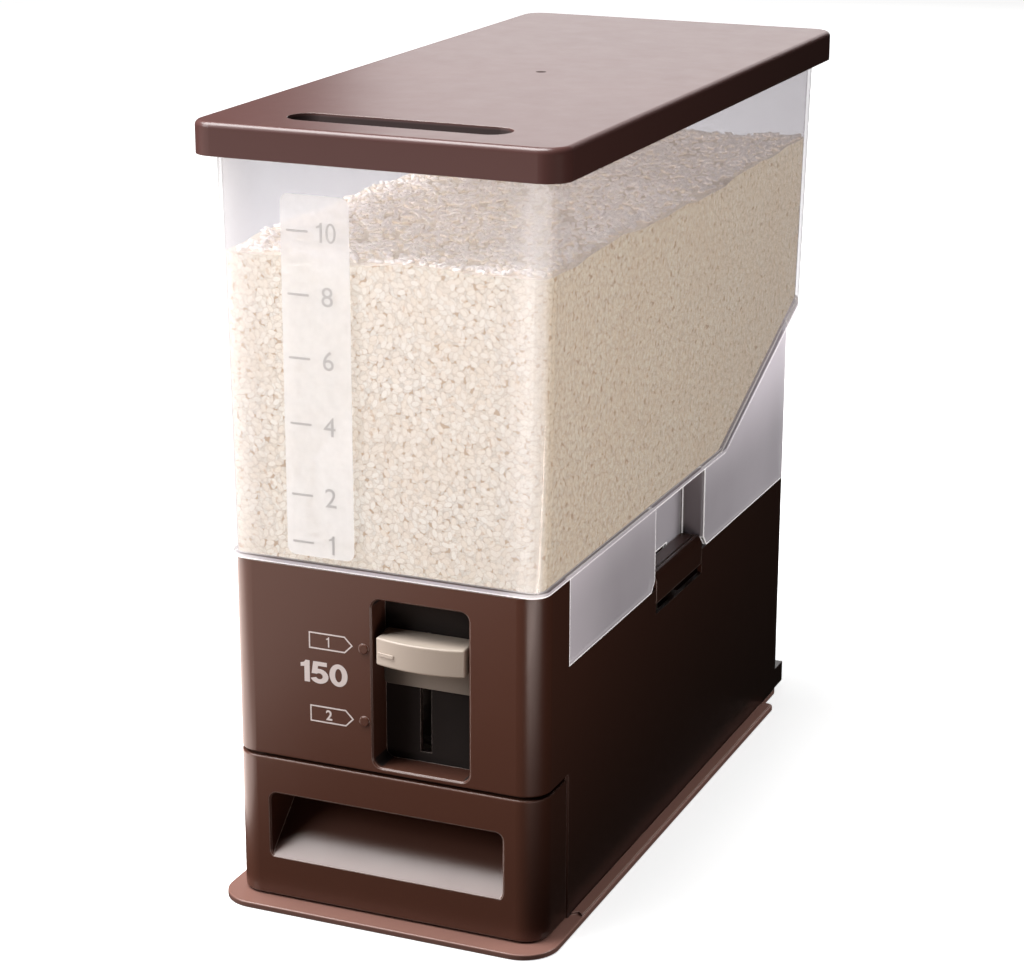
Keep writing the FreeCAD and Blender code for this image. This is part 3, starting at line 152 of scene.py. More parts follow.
class Finish:
    """One material, or the world, and the few ways its nodes are made."""

    def __init__(self, name, blocks=None):
        blocks = bpy.data.materials if blocks is None else blocks
        self.block = blocks.new(name)
        self.block.use_nodes = True
        self.tree = self.block.node_tree
        self.tree.nodes.clear()

    def node(self, kind, settings=None, inputs=None):
        """Adds a node: its settings first, then its sockets' values or links."""
        node = self.tree.nodes.new(kind)
        for name, value in (settings or {}).items():
            setattr(node, name, value)
        for key, value in (inputs or {}).items():
            socket = node.inputs[key]
            if isinstance(value, Signal):
                self.tree.links.new(value.socket, socket)
            else:
                socket.default_value = value
        return node

    def signal(self, kind, settings=None, inputs=None, output=0):
        """Adds a node and gives one of its outputs, by index or name."""
        return Signal(self, self.node(kind, settings, inputs).outputs[output])

    def place(self):
        """Position on the piece at rest, in metres."""
        return self.signal("ShaderNodeTexCoord", output="Object")

    def axes(self, vector):
        """The three parts of a vector or colour."""
        split = self.node("ShaderNodeSeparateXYZ", inputs={"Vector": vector})
        return [Signal(self, output) for output in split.outputs]

    def vector(self, x, y, z=0.0):
        return self.signal("ShaderNodeCombineXYZ", inputs={"X": x, "Y": y, "Z": z})

    def noise(self, scale, detail=2.0, roughness=0.5, vector=None):
        inputs = {"Vector": vector or self.place(), "Scale": scale, "Detail": detail, "Roughness": roughness}
        return self.signal("ShaderNodeTexNoise", inputs=inputs)

    def mix_colour(self, share, first, second, blend="MIX"):
        """First colour at share 0, second at 1; sockets 6 and 7 are the node's two colours."""
        settings = {"data_type": "RGBA", "blend_type": blend}
        return self.signal("ShaderNodeMix", settings, {0: share, 6: first, 7: second}, output=2)

    def tint(self, colour, amount):
        """Colour times a varying amount."""
        grey = self.signal("ShaderNodeCombineColor", inputs={0: amount, 1: amount, 2: amount})
        return self.mix_colour(1.0, colour, grey, blend="MULTIPLY")

    def through(self, colour, pane):
        """Colour as seen through a tinted pane."""
        return self.mix_colour(1.0, colour, (*pane, 1.0), blend="MULTIPLY")

    def bump(self, height, distance, strength=1.0, normal=None):
        inputs = {"Height": height, "Distance": distance, "Strength": strength}
        if normal:
            inputs["Normal"] = normal
        return self.signal("ShaderNodeBump", inputs=inputs)

    def soft_edges(self, radius):
        """Normal that rolls over the piece's sharp edges."""
        return self.signal("ShaderNodeBevel", {"samples": 4}, {"Radius": radius})

    def turn_from_face(self, normal):
        """How far a normal turns from the face's own: 0 on flat faces, more along edges."""
        face = self.signal("ShaderNodeNewGeometry", output="Normal")
        settings = {"operation": "DOT_PRODUCT"}
        return 1.0 - self.signal("ShaderNodeVectorMath", settings, {0: normal, 1: face}, output="Value")

    def plastic(self, colour, roughness, **sockets):
        """Principled surface; other sockets are named with _ in place of spaces."""
        inputs = {"Base Color": colour, "Roughness": roughness}
        inputs.update({name.replace("_", " "): value for name, value in sockets.items()})
        return self.signal("ShaderNodeBsdfPrincipled", inputs=inputs)

    def see_through(self, cover, pass_tint, body):
        """Clear pane that hides what is behind it with its body by the cover's share."""
        clear = self.signal("ShaderNodeBsdfTransparent", inputs={"Color": (*pass_tint, 1.0)})
        return self.signal("ShaderNodeMixShader", inputs={0: cover, 1: clear, 2: body})

    def finish(self, surface):
        """Closes the material with its surface and gives it."""
        self.node("ShaderNodeOutputMaterial", inputs={"Surface": surface})
        return self.block


# ---- finishes ----------------------------------------------------------------------------------------------

# pale colour of the highlight painted along sharp edges
EDGE_HIGHLIGHT_COLOUR = (0.74, 0.62, 0.57, 1.0)
LIT_EDGE_COLOUR = (0.95, 0.93, 0.92, 1.0)
SHADED_RICE = (0.72, 0.64, 0.58, 1.0)  # the top of the rice, under the lid
LOOSE_GLOW_TINT = (0.95, 0.88, 0.80)  # tint of the loose grains' painted glow
GRAIN_SHEETS = 7


def moulded_plastic(name, colour, roughness, edge=0.5 * MM, coat=0.0, grain_depth=0.35, edge_highlight=0.6,
                    hollow=None, deep=1.0):
    """Glossy moulded plastic: a faint cloudiness, fine mould grain and rounded edges with a painted highlight.

    hollow is a function that gives a finish's mask of the places that lie deep, and on the lid of a small dark
    spot;
    there the colour drops to the share deep, which paints shade into the deep places.
    """
    f = Finish(name)
    cloud = f.noise(14.0, detail=3.0)
    grain = f.noise(2600.0, detail=1.0)
    unevenness = f.noise(60.0, detail=4.0, roughness=0.7)
    shade = 0.94 + cloud * 0.12
    rough = roughness - 0.04 + unevenness * 0.08
    if hollow:
        # painted shade: the colour drops to the share deep where the mask lies
        depth = hollow(f)
        shade = shade * (1.0 - depth * (1.0 - deep))
        rough = rough + depth * 0.5
    rolled = f.soft_edges(edge)
    # painted highlight: along sharp edges the colour turns pale where the rolled normal turns from the face
    painted_edge_highlight = f.turn_from_face(rolled).fade(0.01, 0.16) * (0.6 + unevenness * 0.8) * edge_highlight
    tone = f.mix_colour(painted_edge_highlight, f.tint(colour, shade), EDGE_HIGHLIGHT_COLOUR)
    normal = f.bump(grain, 0.02 * MM, strength=grain_depth, normal=rolled)
    return f.finish(f.plastic(tone, rough, Normal=normal, Coat_Weight=coat, Coat_Roughness=0.12))


def within(value, low, high, blur):
    """1 between low and high, 0 outside, fading over a blur."""
    return (value - low).fade(0.0, blur) * (high - value).fade(0.0, blur)


def lever_recess(f):
    """Where the casing lies inside the lever's recess, which the finish darkens as painted shade."""
    x, y, z = f.axes(f.place())
    opening = within(x, *RECESS_X, 0.3 * MM) * within(z, *RECESS_Z, 0.3 * MM)
    return opening * within(y, *RECESS_Y, 3.0 * MM)


def under_knob(f):
    """Where the lever's back plate lies in the shade of its knob."""
    x, _, z = f.axes(f.place())
    more_to_the_left = 0.35 + (20.0 * MM - x).fade(0.0, 30.0 * MM) * 0.65
    return (KNOB_SHADE_TOP - z).fade(0.0, 1.0 * MM) * more_to_the_left


def lid_hollows(f):
    """Where the lid dips into its finger groove, to be darkened as painted shade, and a small round spot at its
    middle.
    """
    x, y, z = f.axes(f.place())
    opening = within(x, *GROOVE_X, 0.3 * MM) * within(y, *GROOVE_Y, 0.3 * MM)
    groove = opening * (LID_TOP - z).fade(0.2 * MM, 2.0 * MM)
    off_x, off_y = x - LID_SPOT_X, y - LID_SPOT_Y
    away = (off_x * off_x + off_y * off_y).power(0.5)
    return (groove + within(away, -1.0, LID_SPOT_RADIUS, 0.8 * MM)).at_most(1.0)


def clear_moulding(name, settings):
    """Clear above the hopper's floor and slope, frosted below them, with painted light on its edges and front
    corners.
    """
    f = Finish(name)
    x, y, z = f.axes(f.place())
    on_front = (-202.0 * MM - y).fade(0.0, 6.0 * MM)
    # painted reflection: the front corners hide more of what is behind, turn pale and glow
    corner = abs(x).fade(58.0 * MM, 90.0 * MM) * on_front * settings.corner
    floor = HOPPER_FLOOR + WALL + (y - SLOPE_START_Y).at_least(0.0) * SLOPE_TANGENT
    frost = (floor - z).fade(-0.3 * MM, 0.3 * MM)
    edge_on = f.signal("ShaderNodeLayerWeight", inputs={"Blend": 0.5}, output="Facing")
    gloss = 0.04 + edge_on.power(5.0) * 0.96
    # painted light: the hopper's edges turn paler and, where frosted, glow
    rim = f.turn_from_face(f.soft_edges(1.5 * MM)).fade(0.01, 0.12) * settings.rim
    streak = f.noise(9.0, detail=3.0)
    clear_cover = settings.haze + gloss * 0.8 + edge_on.power(6.0) * 0.5 + corner
    frost_cover = settings.frost * (0.92 + streak * 0.16)
    cover = (clear_cover * (1.0 - frost) + frost_cover * frost + rim * 0.5).at_most(1.0)
    # painted light: the frosted skirt is lighter towards the rice and towards the front
    near_rice = z.fade(170.0 * MM, 245.0 * MM)
    near_front = (-100.0 * MM - y).fade(0.0, 90.0 * MM)
    light_through = 0.58 + near_rice * 0.95 + streak * 0.3 + near_front * 0.3
    tone = f.mix_colour(frost, (*settings.tint, 1.0), f.tint((*settings.frost_tint, 1.0), light_through))
    tone = f.mix_colour((rim + corner * 2.0).at_most(1.0), tone, LIT_EDGE_COLOUR)
    # the glow at the front corners and the frosted edges is painted light
    body = f.plastic(tone, 0.07 + frost * 0.4, Normal=f.bump(f.noise(900.0), 0.03 * MM, strength=0.3),
                     Emission_Color=f.tint((1.0, 0.97, 0.95, 1.0), corner * 3.0 + rim * frost * 1.2),
                     Emission_Strength=0.7)
    return f.finish(f.see_through(cover, settings.pass_tint, body))


def frosted_film(name, settings):
    """Milky film that carries the level marks, with a faint painted glow."""
    f = Finish(name)
    mottle = f.noise(220.0, detail=3.0)
    cover = settings.film + mottle * 0.08
    body = f.plastic((0.90, 0.89, 0.88, 1.0), 0.42, Normal=f.bump(mottle, 0.03 * MM),
                     Emission_Color=(1.0, 0.98, 0.96, 1.0), Emission_Strength=0.24)
    return f.finish(f.see_through(cover, (0.98, 0.98, 1.0), body))


def printed_ink(name, colour, roughness=0.5):
    """Thin printed ink with slightly uneven cover."""
    f = Finish(name)
    cover = f.noise(1500.0, detail=2.0)
    tone = f.tint(colour, 0.92 + cover * 0.12)
    return f.finish(f.plastic(tone, roughness, Normal=f.bump(cover, 0.01 * MM)))


def rice_sheet(f, u, v, sheet, settings):
    """One sheet of scattered grains: where they are, how high they bulge and a random tone for each."""
    cell = settings.grain_length * 1.02
    shift = 17.31 * (sheet + 1)  # keeps the sheets' patterns apart
    spot = f.vector(u / cell + shift, v / cell - shift * 0.37)
    scatter = f.node("ShaderNodeTexVoronoi", {"voronoi_dimensions": "2D"},
                     {"Vector": spot, "Scale": 1.0, "Randomness": 0.8})
    centre = Signal(f, scatter.outputs["Position"])
    away = f.signal("ShaderNodeVectorMath", {"operation": "SUBTRACT"}, {0: spot, 1: centre})
    x, y, _ = f.axes(away)
    chance, tone, _ = f.axes(Signal(f, scatter.outputs["Color"]))
    turn = chance * (2.0 * math.pi)
    cosine, sine = turn.math("COSINE"), turn.math("SINE")
    along = (x * cosine + y * sine) * (2.0 * cell / settings.grain_length)
    across = (y * cosine - x * sine) * (2.0 * cell / settings.grain_width)
    off_axis = along * along + across * across
    inside = off_axis < 1.0
    bulge = (1.0 - off_axis).at_least(0.0).power(0.5)
    return inside, bulge, tone


def rice_skin(name, settings):
    """Packed rice as it lies against a flat wall or on top: sheets of grains, each over a darker one, as
    painted shade.
    """
    f = Finish(name)
    x, y, z = f.axes(f.place())
    nx, _, nz = f.axes(f.signal("ShaderNodeNewGeometry", output="True Normal"))
    on_side, on_top = abs(nx) > 0.7, abs(nz) > 0.7
    u = x + (y - x) * on_side
    v = z + (y - z) * on_top
    height = f.noise(300.0) * 0.2
    patch = f.noise(26.0, detail=2.0).fade(0.35, 0.75)
    # painted shade: the gaps between grains
    colour = f.tint((*settings.deep, 1.0), 0.9 + height)
    for sheet in range(GRAIN_SHEETS):
        inside, bulge, tone = rice_sheet(f, u, v, sheet, settings)
        lift = (sheet + 1.0) / GRAIN_SHEETS
        grain = f.mix_colour(tone, (*settings.warm, 1.0), (*settings.pale, 1.0))
        # painted shade: each grain darkens towards its edge
        grain = f.mix_colour(bulge.fade(0.0, 0.72), (*settings.edge, 1.0), grain)
        # painted shade: lower sheets are darker
        grain = f.tint(grain, 0.80 + 0.20 * lift)
        colour = f.mix_colour(inside, colour, grain)
        height = height + (lift * 0.8 + bulge * 0.7 - height) * inside
    colour = f.mix_colour(patch * 0.22, colour, (*settings.patch, 1.0))
    speck = f.noise(330.0, detail=1.0).fade(0.66, 0.72)
    colour = f.mix_colour(speck * 0.4, colour, (*settings.speck, 1.0))
    colour = f.mix_colour(on_top * 0.65, colour, SHADED_RICE)
    rough = 0.55 - height * 0.12
    # painted glow: the rice's colour tinted and given off as light, weaker on top
    painted_glow_colour = f.tint(f.through(colour, settings.inner), 1.0 - on_top * 0.4)
    return f.finish(f.plastic(colour, rough, Normal=f.bump(height, 0.5 * MM, strength=0.25),
                              Emission_Color=painted_glow_colour, Emission_Strength=settings.glow))


def loose_rice(name, settings):
    """Separate grains: each a slightly different white, with a painted glow."""
    f = Finish(name)
    paleness = f.noise(190.0, detail=0.0).fade(0.2, 0.5)
    colour = f.mix_colour(paleness, (*settings.warm, 1.0), (*settings.top, 1.0))
    chalk = f.noise(1400.0, detail=1.0)
    return f.finish(f.plastic(f.tint(colour, 0.86 + chalk * 0.2), 0.62, Normal=f.bump(chalk, 0.04 * MM),
                              Emission_Color=f.through(colour, LOOSE_GLOW_TINT), Emission_Strength=0.4))


def turned_steel(name):
    """Bare steel with fine turning lines."""
    f = Finish(name)
    x, y, z = f.axes(f.place())
    lines = f.noise(1.0, detail=2.0, vector=f.vector(x * 900.0, y * 90.0, z * 900.0))
    return f.finish(f.plastic((0.58, 0.58, 0.60, 1.0), 0.22 + lines * 0.18, Metallic=1.0,
                              Normal=f.bump(lines, 0.01 * MM, normal=f.soft_edges(0.2 * MM))))


def soft_rubber(name, colour):
    """Dull rubber with fine pores."""
    f = Finish(name)
    pores = f.noise(1300.0, detail=2.0)
    return f.finish(f.plastic(f.tint(colour, 0.9 + pores * 0.2), 0.72 + pores * 0.1,
                              Normal=f.bump(pores, 0.05 * MM, normal=f.soft_edges(0.3 * MM))))


# ---- mesh helpers ------------------------------------------------------------------------------------------

def dress(material, *nodes):
    """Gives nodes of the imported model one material."""
    for name in nodes:
        data = frame["nodes"][name].data
        data.materials.clear()
        data.materials.append(material)


def new_piece(name, vertices, faces, material, smooth=False):
    """Adds a mesh of its own to the scene."""
    mesh = bpy.data.meshes.new(name)
    mesh.from_pydata([tuple(v) for v in vertices], [], [tuple(face) for face in faces])
    mesh.validate()
    mesh.update()
    if smooth:
        mesh.polygons.foreach_set("use_smooth", [True] * len(mesh.polygons))
    mesh.materials.append(material)
    piece = bpy.data.objects.new(name, mesh)
    bpy.context.scene.collection.objects.link(piece)
    return piece


def join_shapes(shapes):
    """Several (vertices, faces) as one."""
    vertices, faces = [], []
    for points, sides in shapes:
        start = len(vertices)
        vertices += list(points)
        faces += [tuple(index + start for index in side) for side in sides]
    return vertices, faces


def rounded_rectangle(half_x, low_y, high_y, radius, steps=6, between=(24, 12)):
    """Outline of a rounded rectangle as (x, y) points, anticlockwise from the low-y side.

    between counts the points along each side that follows y and each that follows x.
    """
    centres = [(half_x - radius, low_y + radius, -90), (half_x - radius, high_y - radius, 0),
               (radius - half_x, high_y - radius, 90), (radius - half_x, low_y + radius, 180)]
    points = []
    for corner, (x, y, start) in enumerate(centres):
        for step in range(steps + 1):
            angle = math.radians(start + 90.0 * step / steps)
            points.append((x + radius * math.cos(angle), y + radius * math.sin(angle)))
        next_x, next_y, next_start = centres[(corner + 1) % 4]
        angle = math.radians(next_start)
        end_x, end_y = next_x + radius * math.cos(angle), next_y + radius * math.sin(angle)
        count = between[corner % 2]
        last_x, last_y = points[-1]
        points += [(last_x + (end_x - last_x) * i / (count + 1), last_y + (end_y - last_y) * i / (count + 1))
                   for i in range(1, count + 1)]
    return points


def front_plate(outline, y, thickness):
    """Flat plate in the XZ plane from an outline, standing forward of y by its thickness."""
    count = len(outline)
    vertices = [(x, y, z) for x, z in outline] + [(x, y - thickness, z) for x, z in outline]
    sides = [(i, (i + 1) % count, count + (i + 1) % count, count + i) for i in range(count)]
    return vertices, sides + [tuple(range(count, 2 * count)), tuple(reversed(range(count)))]


def front_ring(outer, inner, y, thickness):
    """Flat ring in the XZ plane between two outlines of as many points."""
    count = len(outer)
    vertices = [(x, y - depth, z) for depth in (0.0, thickness) for line in (outer, inner) for x, z in line]
    faces = []
    for i in range(count):
        j = (i + 1) % count
        faces.append((2 * count + i, 2 * count + j, 3 * count + j, 3 * count + i))
        faces.append((i, count + i, count + j, j))
        faces.append((i, j, 2 * count + j, 2 * count + i))
        faces.append((count + i, 3 * count + i, 3 * count + j, count + j))
    return vertices, faces


def rounded_bar(x, z):
    """Outline of a bar with round ends, as (x, z) points."""
    radius = (z[1] - z[0]) / 2
    middle = (z[0] + z[1]) / 2
    points = []
    for end, start in ((x[1] - radius, -90), (x[0] + radius, 90)):
        angles = [math.radians(start + step) for step in range(0, 181, 30)]
        points += [(end + radius * math.cos(a), middle + radius * math.sin(a)) for a in angles]
    return points


def tag_outline(left, right, middle, height, inset):
    """Outline of a tag that points right, as (x, z) points, drawn in by an inset."""
    half = height / 2 - inset
    point = height / 2
    near, far = left + inset, right - inset * 1.4
    shoulder = right - point - inset * 0.4
    return [(near, middle - half), (shoulder, middle - half), (far, middle), (shoulder, middle + half),
            (near, middle + half)]


def number_shape(text, centre, height, weight, y, thickness):
    """Plain digits in the XZ plane, centred, as (vertices, faces); weight makes them bolder."""
    curve = bpy.data.curves.new("digits", "FONT")
    curve.body = text
    curve.align_x = "CENTER"
    curve.offset = weight
    curve.extrude = 0.5
    curve.resolution_u = 5
    holder = bpy.data.objects.new("digits", curve)
    bpy.context.scene.collection.objects.link(holder)
    bpy.context.view_layer.update()
    mesh = bpy.data.meshes.new_from_object(holder.evaluated_get(bpy.context.evaluated_depsgraph_get()))
    points = np.array([v.co for v in mesh.vertices], float)
    faces = [tuple(p.vertices) for p in mesh.polygons]
    bpy.data.objects.remove(holder)
    bpy.data.curves.remove(curve)
    low, high = points.min(0), points.max(0)
    scale = height / (high[1] - low[1])
    middle = (low + high) / 2
    vertices = [(centre[0] + (p[0] - middle[0]) * scale, y - thickness * (p[2] + 0.5),
                 centre[1] + (p[1] - middle[1]) * scale) for p in points]
    bpy.data.meshes.remove(mesh)
    return vertices, faces


def arc_points(centre, radii, start, end, steps=14):
    """Points on an arc of an ellipse, angles in degrees."""
    angles = [math.radians(start + (end - start) * i / steps) for i in range(steps + 1)]
    return [(centre[0] + radii[0] * math.cos(a), centre[1] + radii[1] * math.sin(a)) for a in angles]


def oval(centre, radii, steps):
    """Points all round an ellipse."""
    return arc_points(centre, radii, 0, 360, steps)[:-1]


def slim_digits(text, centre, height, y, thickness):
    """1 or 10 in slim plain digits, centred."""
    one = [(0.31, 0.0), (0.31, 1.0), (0.21, 1.0), (0.15, 0.88), (0.0, 0.81), (0.0, 0.71), (0.18, 0.76),
           (0.18, 0.0)]
    width = 1.06 if text == "10" else 0.31

    def placed(points):
        return [(centre[0] + (px - width / 2) * height, centre[1] + (pz - 0.5) * height) for px, pz in points]

    shapes = [front_plate(placed(one), y, thickness)]
    if text == "10":
        shapes.append(front_ring(placed(oval((0.78, 0.5), (0.28, 0.51), 32)),
                                 placed(oval((0.78, 0.5), (0.165, 0.40), 32)), y, thickness))
    return shapes


def bold_digits(corner, height, y, thickness):
    """The measure's number 150 in broad plain digits, from its lower left corner."""
    def placed(points, shift):
        return [(corner[0] + (px + shift) * height, corner[1] + pz * height) for px, pz in points]

    one = [(0.44, 0.0), (0.44, 1.0), (0.24, 1.0), (0.17, 0.90), (0.0, 0.85), (0.0, 0.68), (0.18, 0.71),
           (0.18, 0.0)]
    bowl = (0.40, 0.33)
    five = [(0.78, 1.0), (0.12, 1.0), (0.03, 0.43), (0.27, 0.43)]
    five += arc_points(bowl, (0.17, 0.14), 140, -155) + arc_points(bowl, (0.45, 0.345), 202, 460)
    five += [(0.35, 0.81), (0.78, 0.81)]
    rim, hole = oval((0.44, 0.5), (0.44, 0.52), 40), oval((0.44, 0.5), (0.165, 0.31), 40)
    return [front_plate(placed(one, 0.0), y, thickness), front_plate(placed(five, 0.50), y, thickness),
            front_ring(placed(rim, 1.40), placed(hole, 1.40), y, thickness)]


# ---- settings ----------------------------------------------------------------------------------------------

def colour_setting(name, description, default):
    return bpy.props.FloatVectorProperty(name=name, description=description, default=default, size=3,
                                         subtype="COLOR", min=0.0, max=1.0)


def length_setting(name, description, default):
    return bpy.props.FloatProperty(name=name, description=description, default=default, min=0.0,
                                   subtype="DISTANCE", unit="LENGTH")


def share_setting(name, description, default):
    return bpy.props.FloatProperty(name=name, description=description, default=default, min=0.0, max=1.0,
                                   subtype="FACTOR")


def count_setting(name, description, default):
    return bpy.props.IntProperty(name=name, description=description, default=default, min=0)


def power_setting(name, description, default):
    return bpy.props.FloatProperty(name=name, description=description, default=default, min=0.0,
                                   subtype="POWER", unit="POWER")


class CasingSettings(bpy.types.PropertyGroup):
    brown: colour_setting("Casing colour", "Colour of base, drawer front and latches", (0.100, 0.038, 0.024))
    # painted light: the foot plate is the casing's plastic, given a lighter brown for the light that falls on
    # its top
    foot: colour_setting("Foot colour", "Colour of the foot plate", (0.225, 0.115, 0.092))
    lid: colour_setting("Lid colour", "Colour of the lid", (0.095, 0.042, 0.038))
    gloss: share_setting("Casing roughness", "Roughness of the brown plastic", 0.32)
    beige: colour_setting("Lever colour", "Colour of the press lever", (0.52, 0.44, 0.37))
    edge: length_setting("Edge softness", "Radius that sharp edges of the casing seem to have", 0.5 * MM)


class HopperSettings(bpy.types.PropertyGroup):
    haze: share_setting("Haze", "How much the clear walls hide", 0.06)
    frost: share_setting("Frost", "How much the frosted skirt hides", 0.80)
    film: share_setting("Film", "How much the level film hides", 0.48)
    # strength of the painted light along the hopper's edges
    rim: share_setting("Edge light", "How much light the hopper's edges gather", 0.8)
    # strength of the painted reflection and glow at the front corners
    corner: share_setting("Corner haze", "How much the front corners hide", 0.22)
    tint: colour_setting("Wall tint", "Tint of the clear walls' haze", (0.36, 0.33, 0.35))
    frost_tint: colour_setting("Frost tint", "Tint of the frosted skirt", (0.56, 0.52, 0.56))
    pass_tint: colour_setting("Pass tint", "Tint of what is seen through a wall", (0.90, 0.895, 0.905))


class RiceSettings(bpy.types.PropertyGroup):
    level: length_setting("Rice level", "Height of the rice's top over the floor", 355.0 * MM)
    grain_length: length_setting("Grain length", "Length of a grain", 5.2 * MM)
    grain_width: length_setting("Grain width", "Width of a grain", 3.0 * MM)
    pale: colour_setting("Pale grain", "Colour of the whitest grains", (0.98, 0.96, 0.90))
    warm: colour_setting("Warm grain", "Colour of the warmest grains", (0.94, 0.87, 0.77))
    # painted shade at a grain's edge
    edge: colour_setting("Grain edge", "Colour of a grain's edge", (0.64, 0.51, 0.39))
    top: colour_setting("Top tint", "Tint of the loose grains on top", (0.96, 0.92, 0.90))
    # tint of the rice's painted glow
    inner: colour_setting("Inner tint", "Tint of the light from inside the rice", (0.92, 0.86, 0.69))
    # painted shade in the gaps between grains
    deep: colour_setting("Gap colour", "Colour of the gaps between grains", (0.60, 0.46, 0.34))
    patch: colour_setting("Patch colour", "Colour of the warmer patches in the rice", (0.84, 0.72, 0.58))
    speck: colour_setting("Speck colour", "Colour of the dark germs of some grains", (0.66, 0.44, 0.26))
    # strength of the rice's painted glow
    glow: share_setting("Light carried", "Light that the rice passes on from inside", 0.44)
    loose: count_setting("Loose grains", "Number of grains lying on top", 5200)
    seed: count_setting("Seed", "Seed of the grains' places", 11)


class PrintSettings(bpy.types.PropertyGroup):
    ink: colour_setting("Print colour", "Colour of the prints on the base", (0.74, 0.66, 0.64))
    mark: colour_setting("Mark colour", "Colour of the level marks", (0.43, 0.41, 0.40))
    thickness: length_setting("Ink thickness", "Thickness of the printed ink", 0.06 * MM)


class StudioSettings(bpy.types.PropertyGroup):
    lens: bpy.props.FloatProperty(name="Lens", description="Focal length on a sensor 36 mm wide",
                                  default=95.77, min=10.0, unit="CAMERA")
    key: power_setting("Key", "Power of the light at the front left", 30.0)
    overhead: power_setting("Overhead", "Power of the light above", 108.0)


SETTINGS = {
    "dispenser_casing": CasingSettings,
    "dispenser_hopper": HopperSettings,
    "dispenser_rice": RiceSettings,
    "dispenser_print": PrintSettings,
    "dispenser_studio": StudioSettings,
}


# ---- pieces ------------------------------------------------------------------------------------------------

class DISPENSER_OT_casing(bpy.types.Operator):
    """Give the base, foot plate, drawer front, latches and lid their brown plastic"""
    bl_idname = "dispenser.casing"
    bl_label = "Finish Casing"

    def execute(self, context):
        s = context.scene.dispenser_casing
        brown = (*s.brown, 1.0)
        # painted shade darkens the lever's recess, the lid's finger groove and the lever's back plate under its
        # knob
        dress(moulded_plastic("brown_casing", brown, s.gloss, edge=s.edge, coat=0.05,
                              hollow=lever_recess, deep=0.1), "base_housing")
        # the fronts get a wider and stronger painted highlight along their edges
        dress(moulded_plastic("brown_fronts", brown, s.gloss, edge=1.8 * s.edge, coat=0.05, edge_highlight=1.0),
              "drawer_front", "latch_right", "latch_left")
        # the foot plate's lighter brown is painted light
        dress(moulded_plastic("brown_foot", (*s.foot, 1.0), s.gloss, edge=s.edge, coat=0.05), "floor_plate")
        dress(moulded_plastic("brown_lid", (*s.lid, 1.0), s.gloss - 0.02, edge=s.edge, grain_depth=0.12,
                              hollow=lid_hollows, deep=0.3), "lid")
        dress(moulded_plastic("beige_lever", (*s.beige, 1.0), 0.36, edge=0.3 * MM,
                              hollow=under_knob, deep=0.15), "lever_knob")
        return {"FINISHED"}


class DISPENSER_OT_hopper(bpy.types.Operator):
    """Give the hopper its clear and frosted plastic and the level film its milky one"""
    bl_idname = "dispenser.hopper"
    bl_label = "Finish Hopper"

    def execute(self, context):
        s = context.scene.dispenser_hopper
        dress(clear_moulding("clear_hopper", s), "hopper")
        dress(frosted_film("level_film", s), "level_scale")
        return {"FINISHED"}


RICE_INSET = WALL + 0.35 * MM  # from the hopper's outside to the rice
RICE_FLOOR = HOPPER_FLOOR + RICE_INSET
NEAR_KNEE = 256.0 * MM  # about where the slope meets the rear wall
LOOSE_SIDE_GAP, LOOSE_FRONT_GAP = mm(3.4, 3.0)  # keep the middles of loose grains off the walls


def hopper_section(height, inset):
    """Half width and rear end of the hopper's outside at a height, less an inset.

    Its walls lean out: share is 0 at the hopper's floor and 1 at its rim, 224.7 mm above that.
    """
    share = (height - HOPPER_FLOOR) / (224.7 * MM)
    half = (88.8 + 2.9 * share) * MM - inset
    rear = (215.55 - 7.5 * (1.0 - share)) * MM - inset
    return half, rear


def rice_outline(height):
    """Outline of the rice at a height: the hopper's inside, cut off by its slope where that comes first."""
    half, rear = hopper_section(height, RICE_INSET)
    slope_y = SLOPE_START_Y + (height - RICE_FLOOR) / SLOPE_TANGENT
    return rounded_rectangle(half, FRONT_Y + RICE_INSET, min(rear, slope_y), HOPPER_CORNER - RICE_INSET)


def rice_relief(x, y):
    """Gentle humps of the rice's top: three crossed waves, up to 1.5, 0.9 and 0.6 mm high."""
    return (1.5 * np.sin(x * 41.0 + 0.7) * np.cos(y * 23.0 - 0.4) + 0.9 * np.sin(x * 97.0 + y * 61.0)
            + 0.6 * np.cos(y * 139.0 - x * 53.0)) * MM


def grain_shape(length, width):
    """One grain as (points, sides): a tip at each end and two rings of four points between them."""
    ring_angles = np.radians([45, 135, 225, 315])
    points = [(-1.0, 0.0, 0.0), (1.0, 0.0, 0.0)]
    points += [(at, 0.86 * math.cos(a), 0.86 * math.sin(a)) for at in (-0.55, 0.5) for a in ring_angles]
    sides = [(0, 2 + (i + 1) % 4, 2 + i) for i in range(4)]
    sides += [(1, 6 + i, 6 + (i + 1) % 4) for i in range(4)]
    sides += [(2 + i, 2 + (i + 1) % 4, 6 + (i + 1) % 4, 6 + i) for i in range(4)]
    return np.array(points) * (length / 2, width / 2, width * 0.42), sides


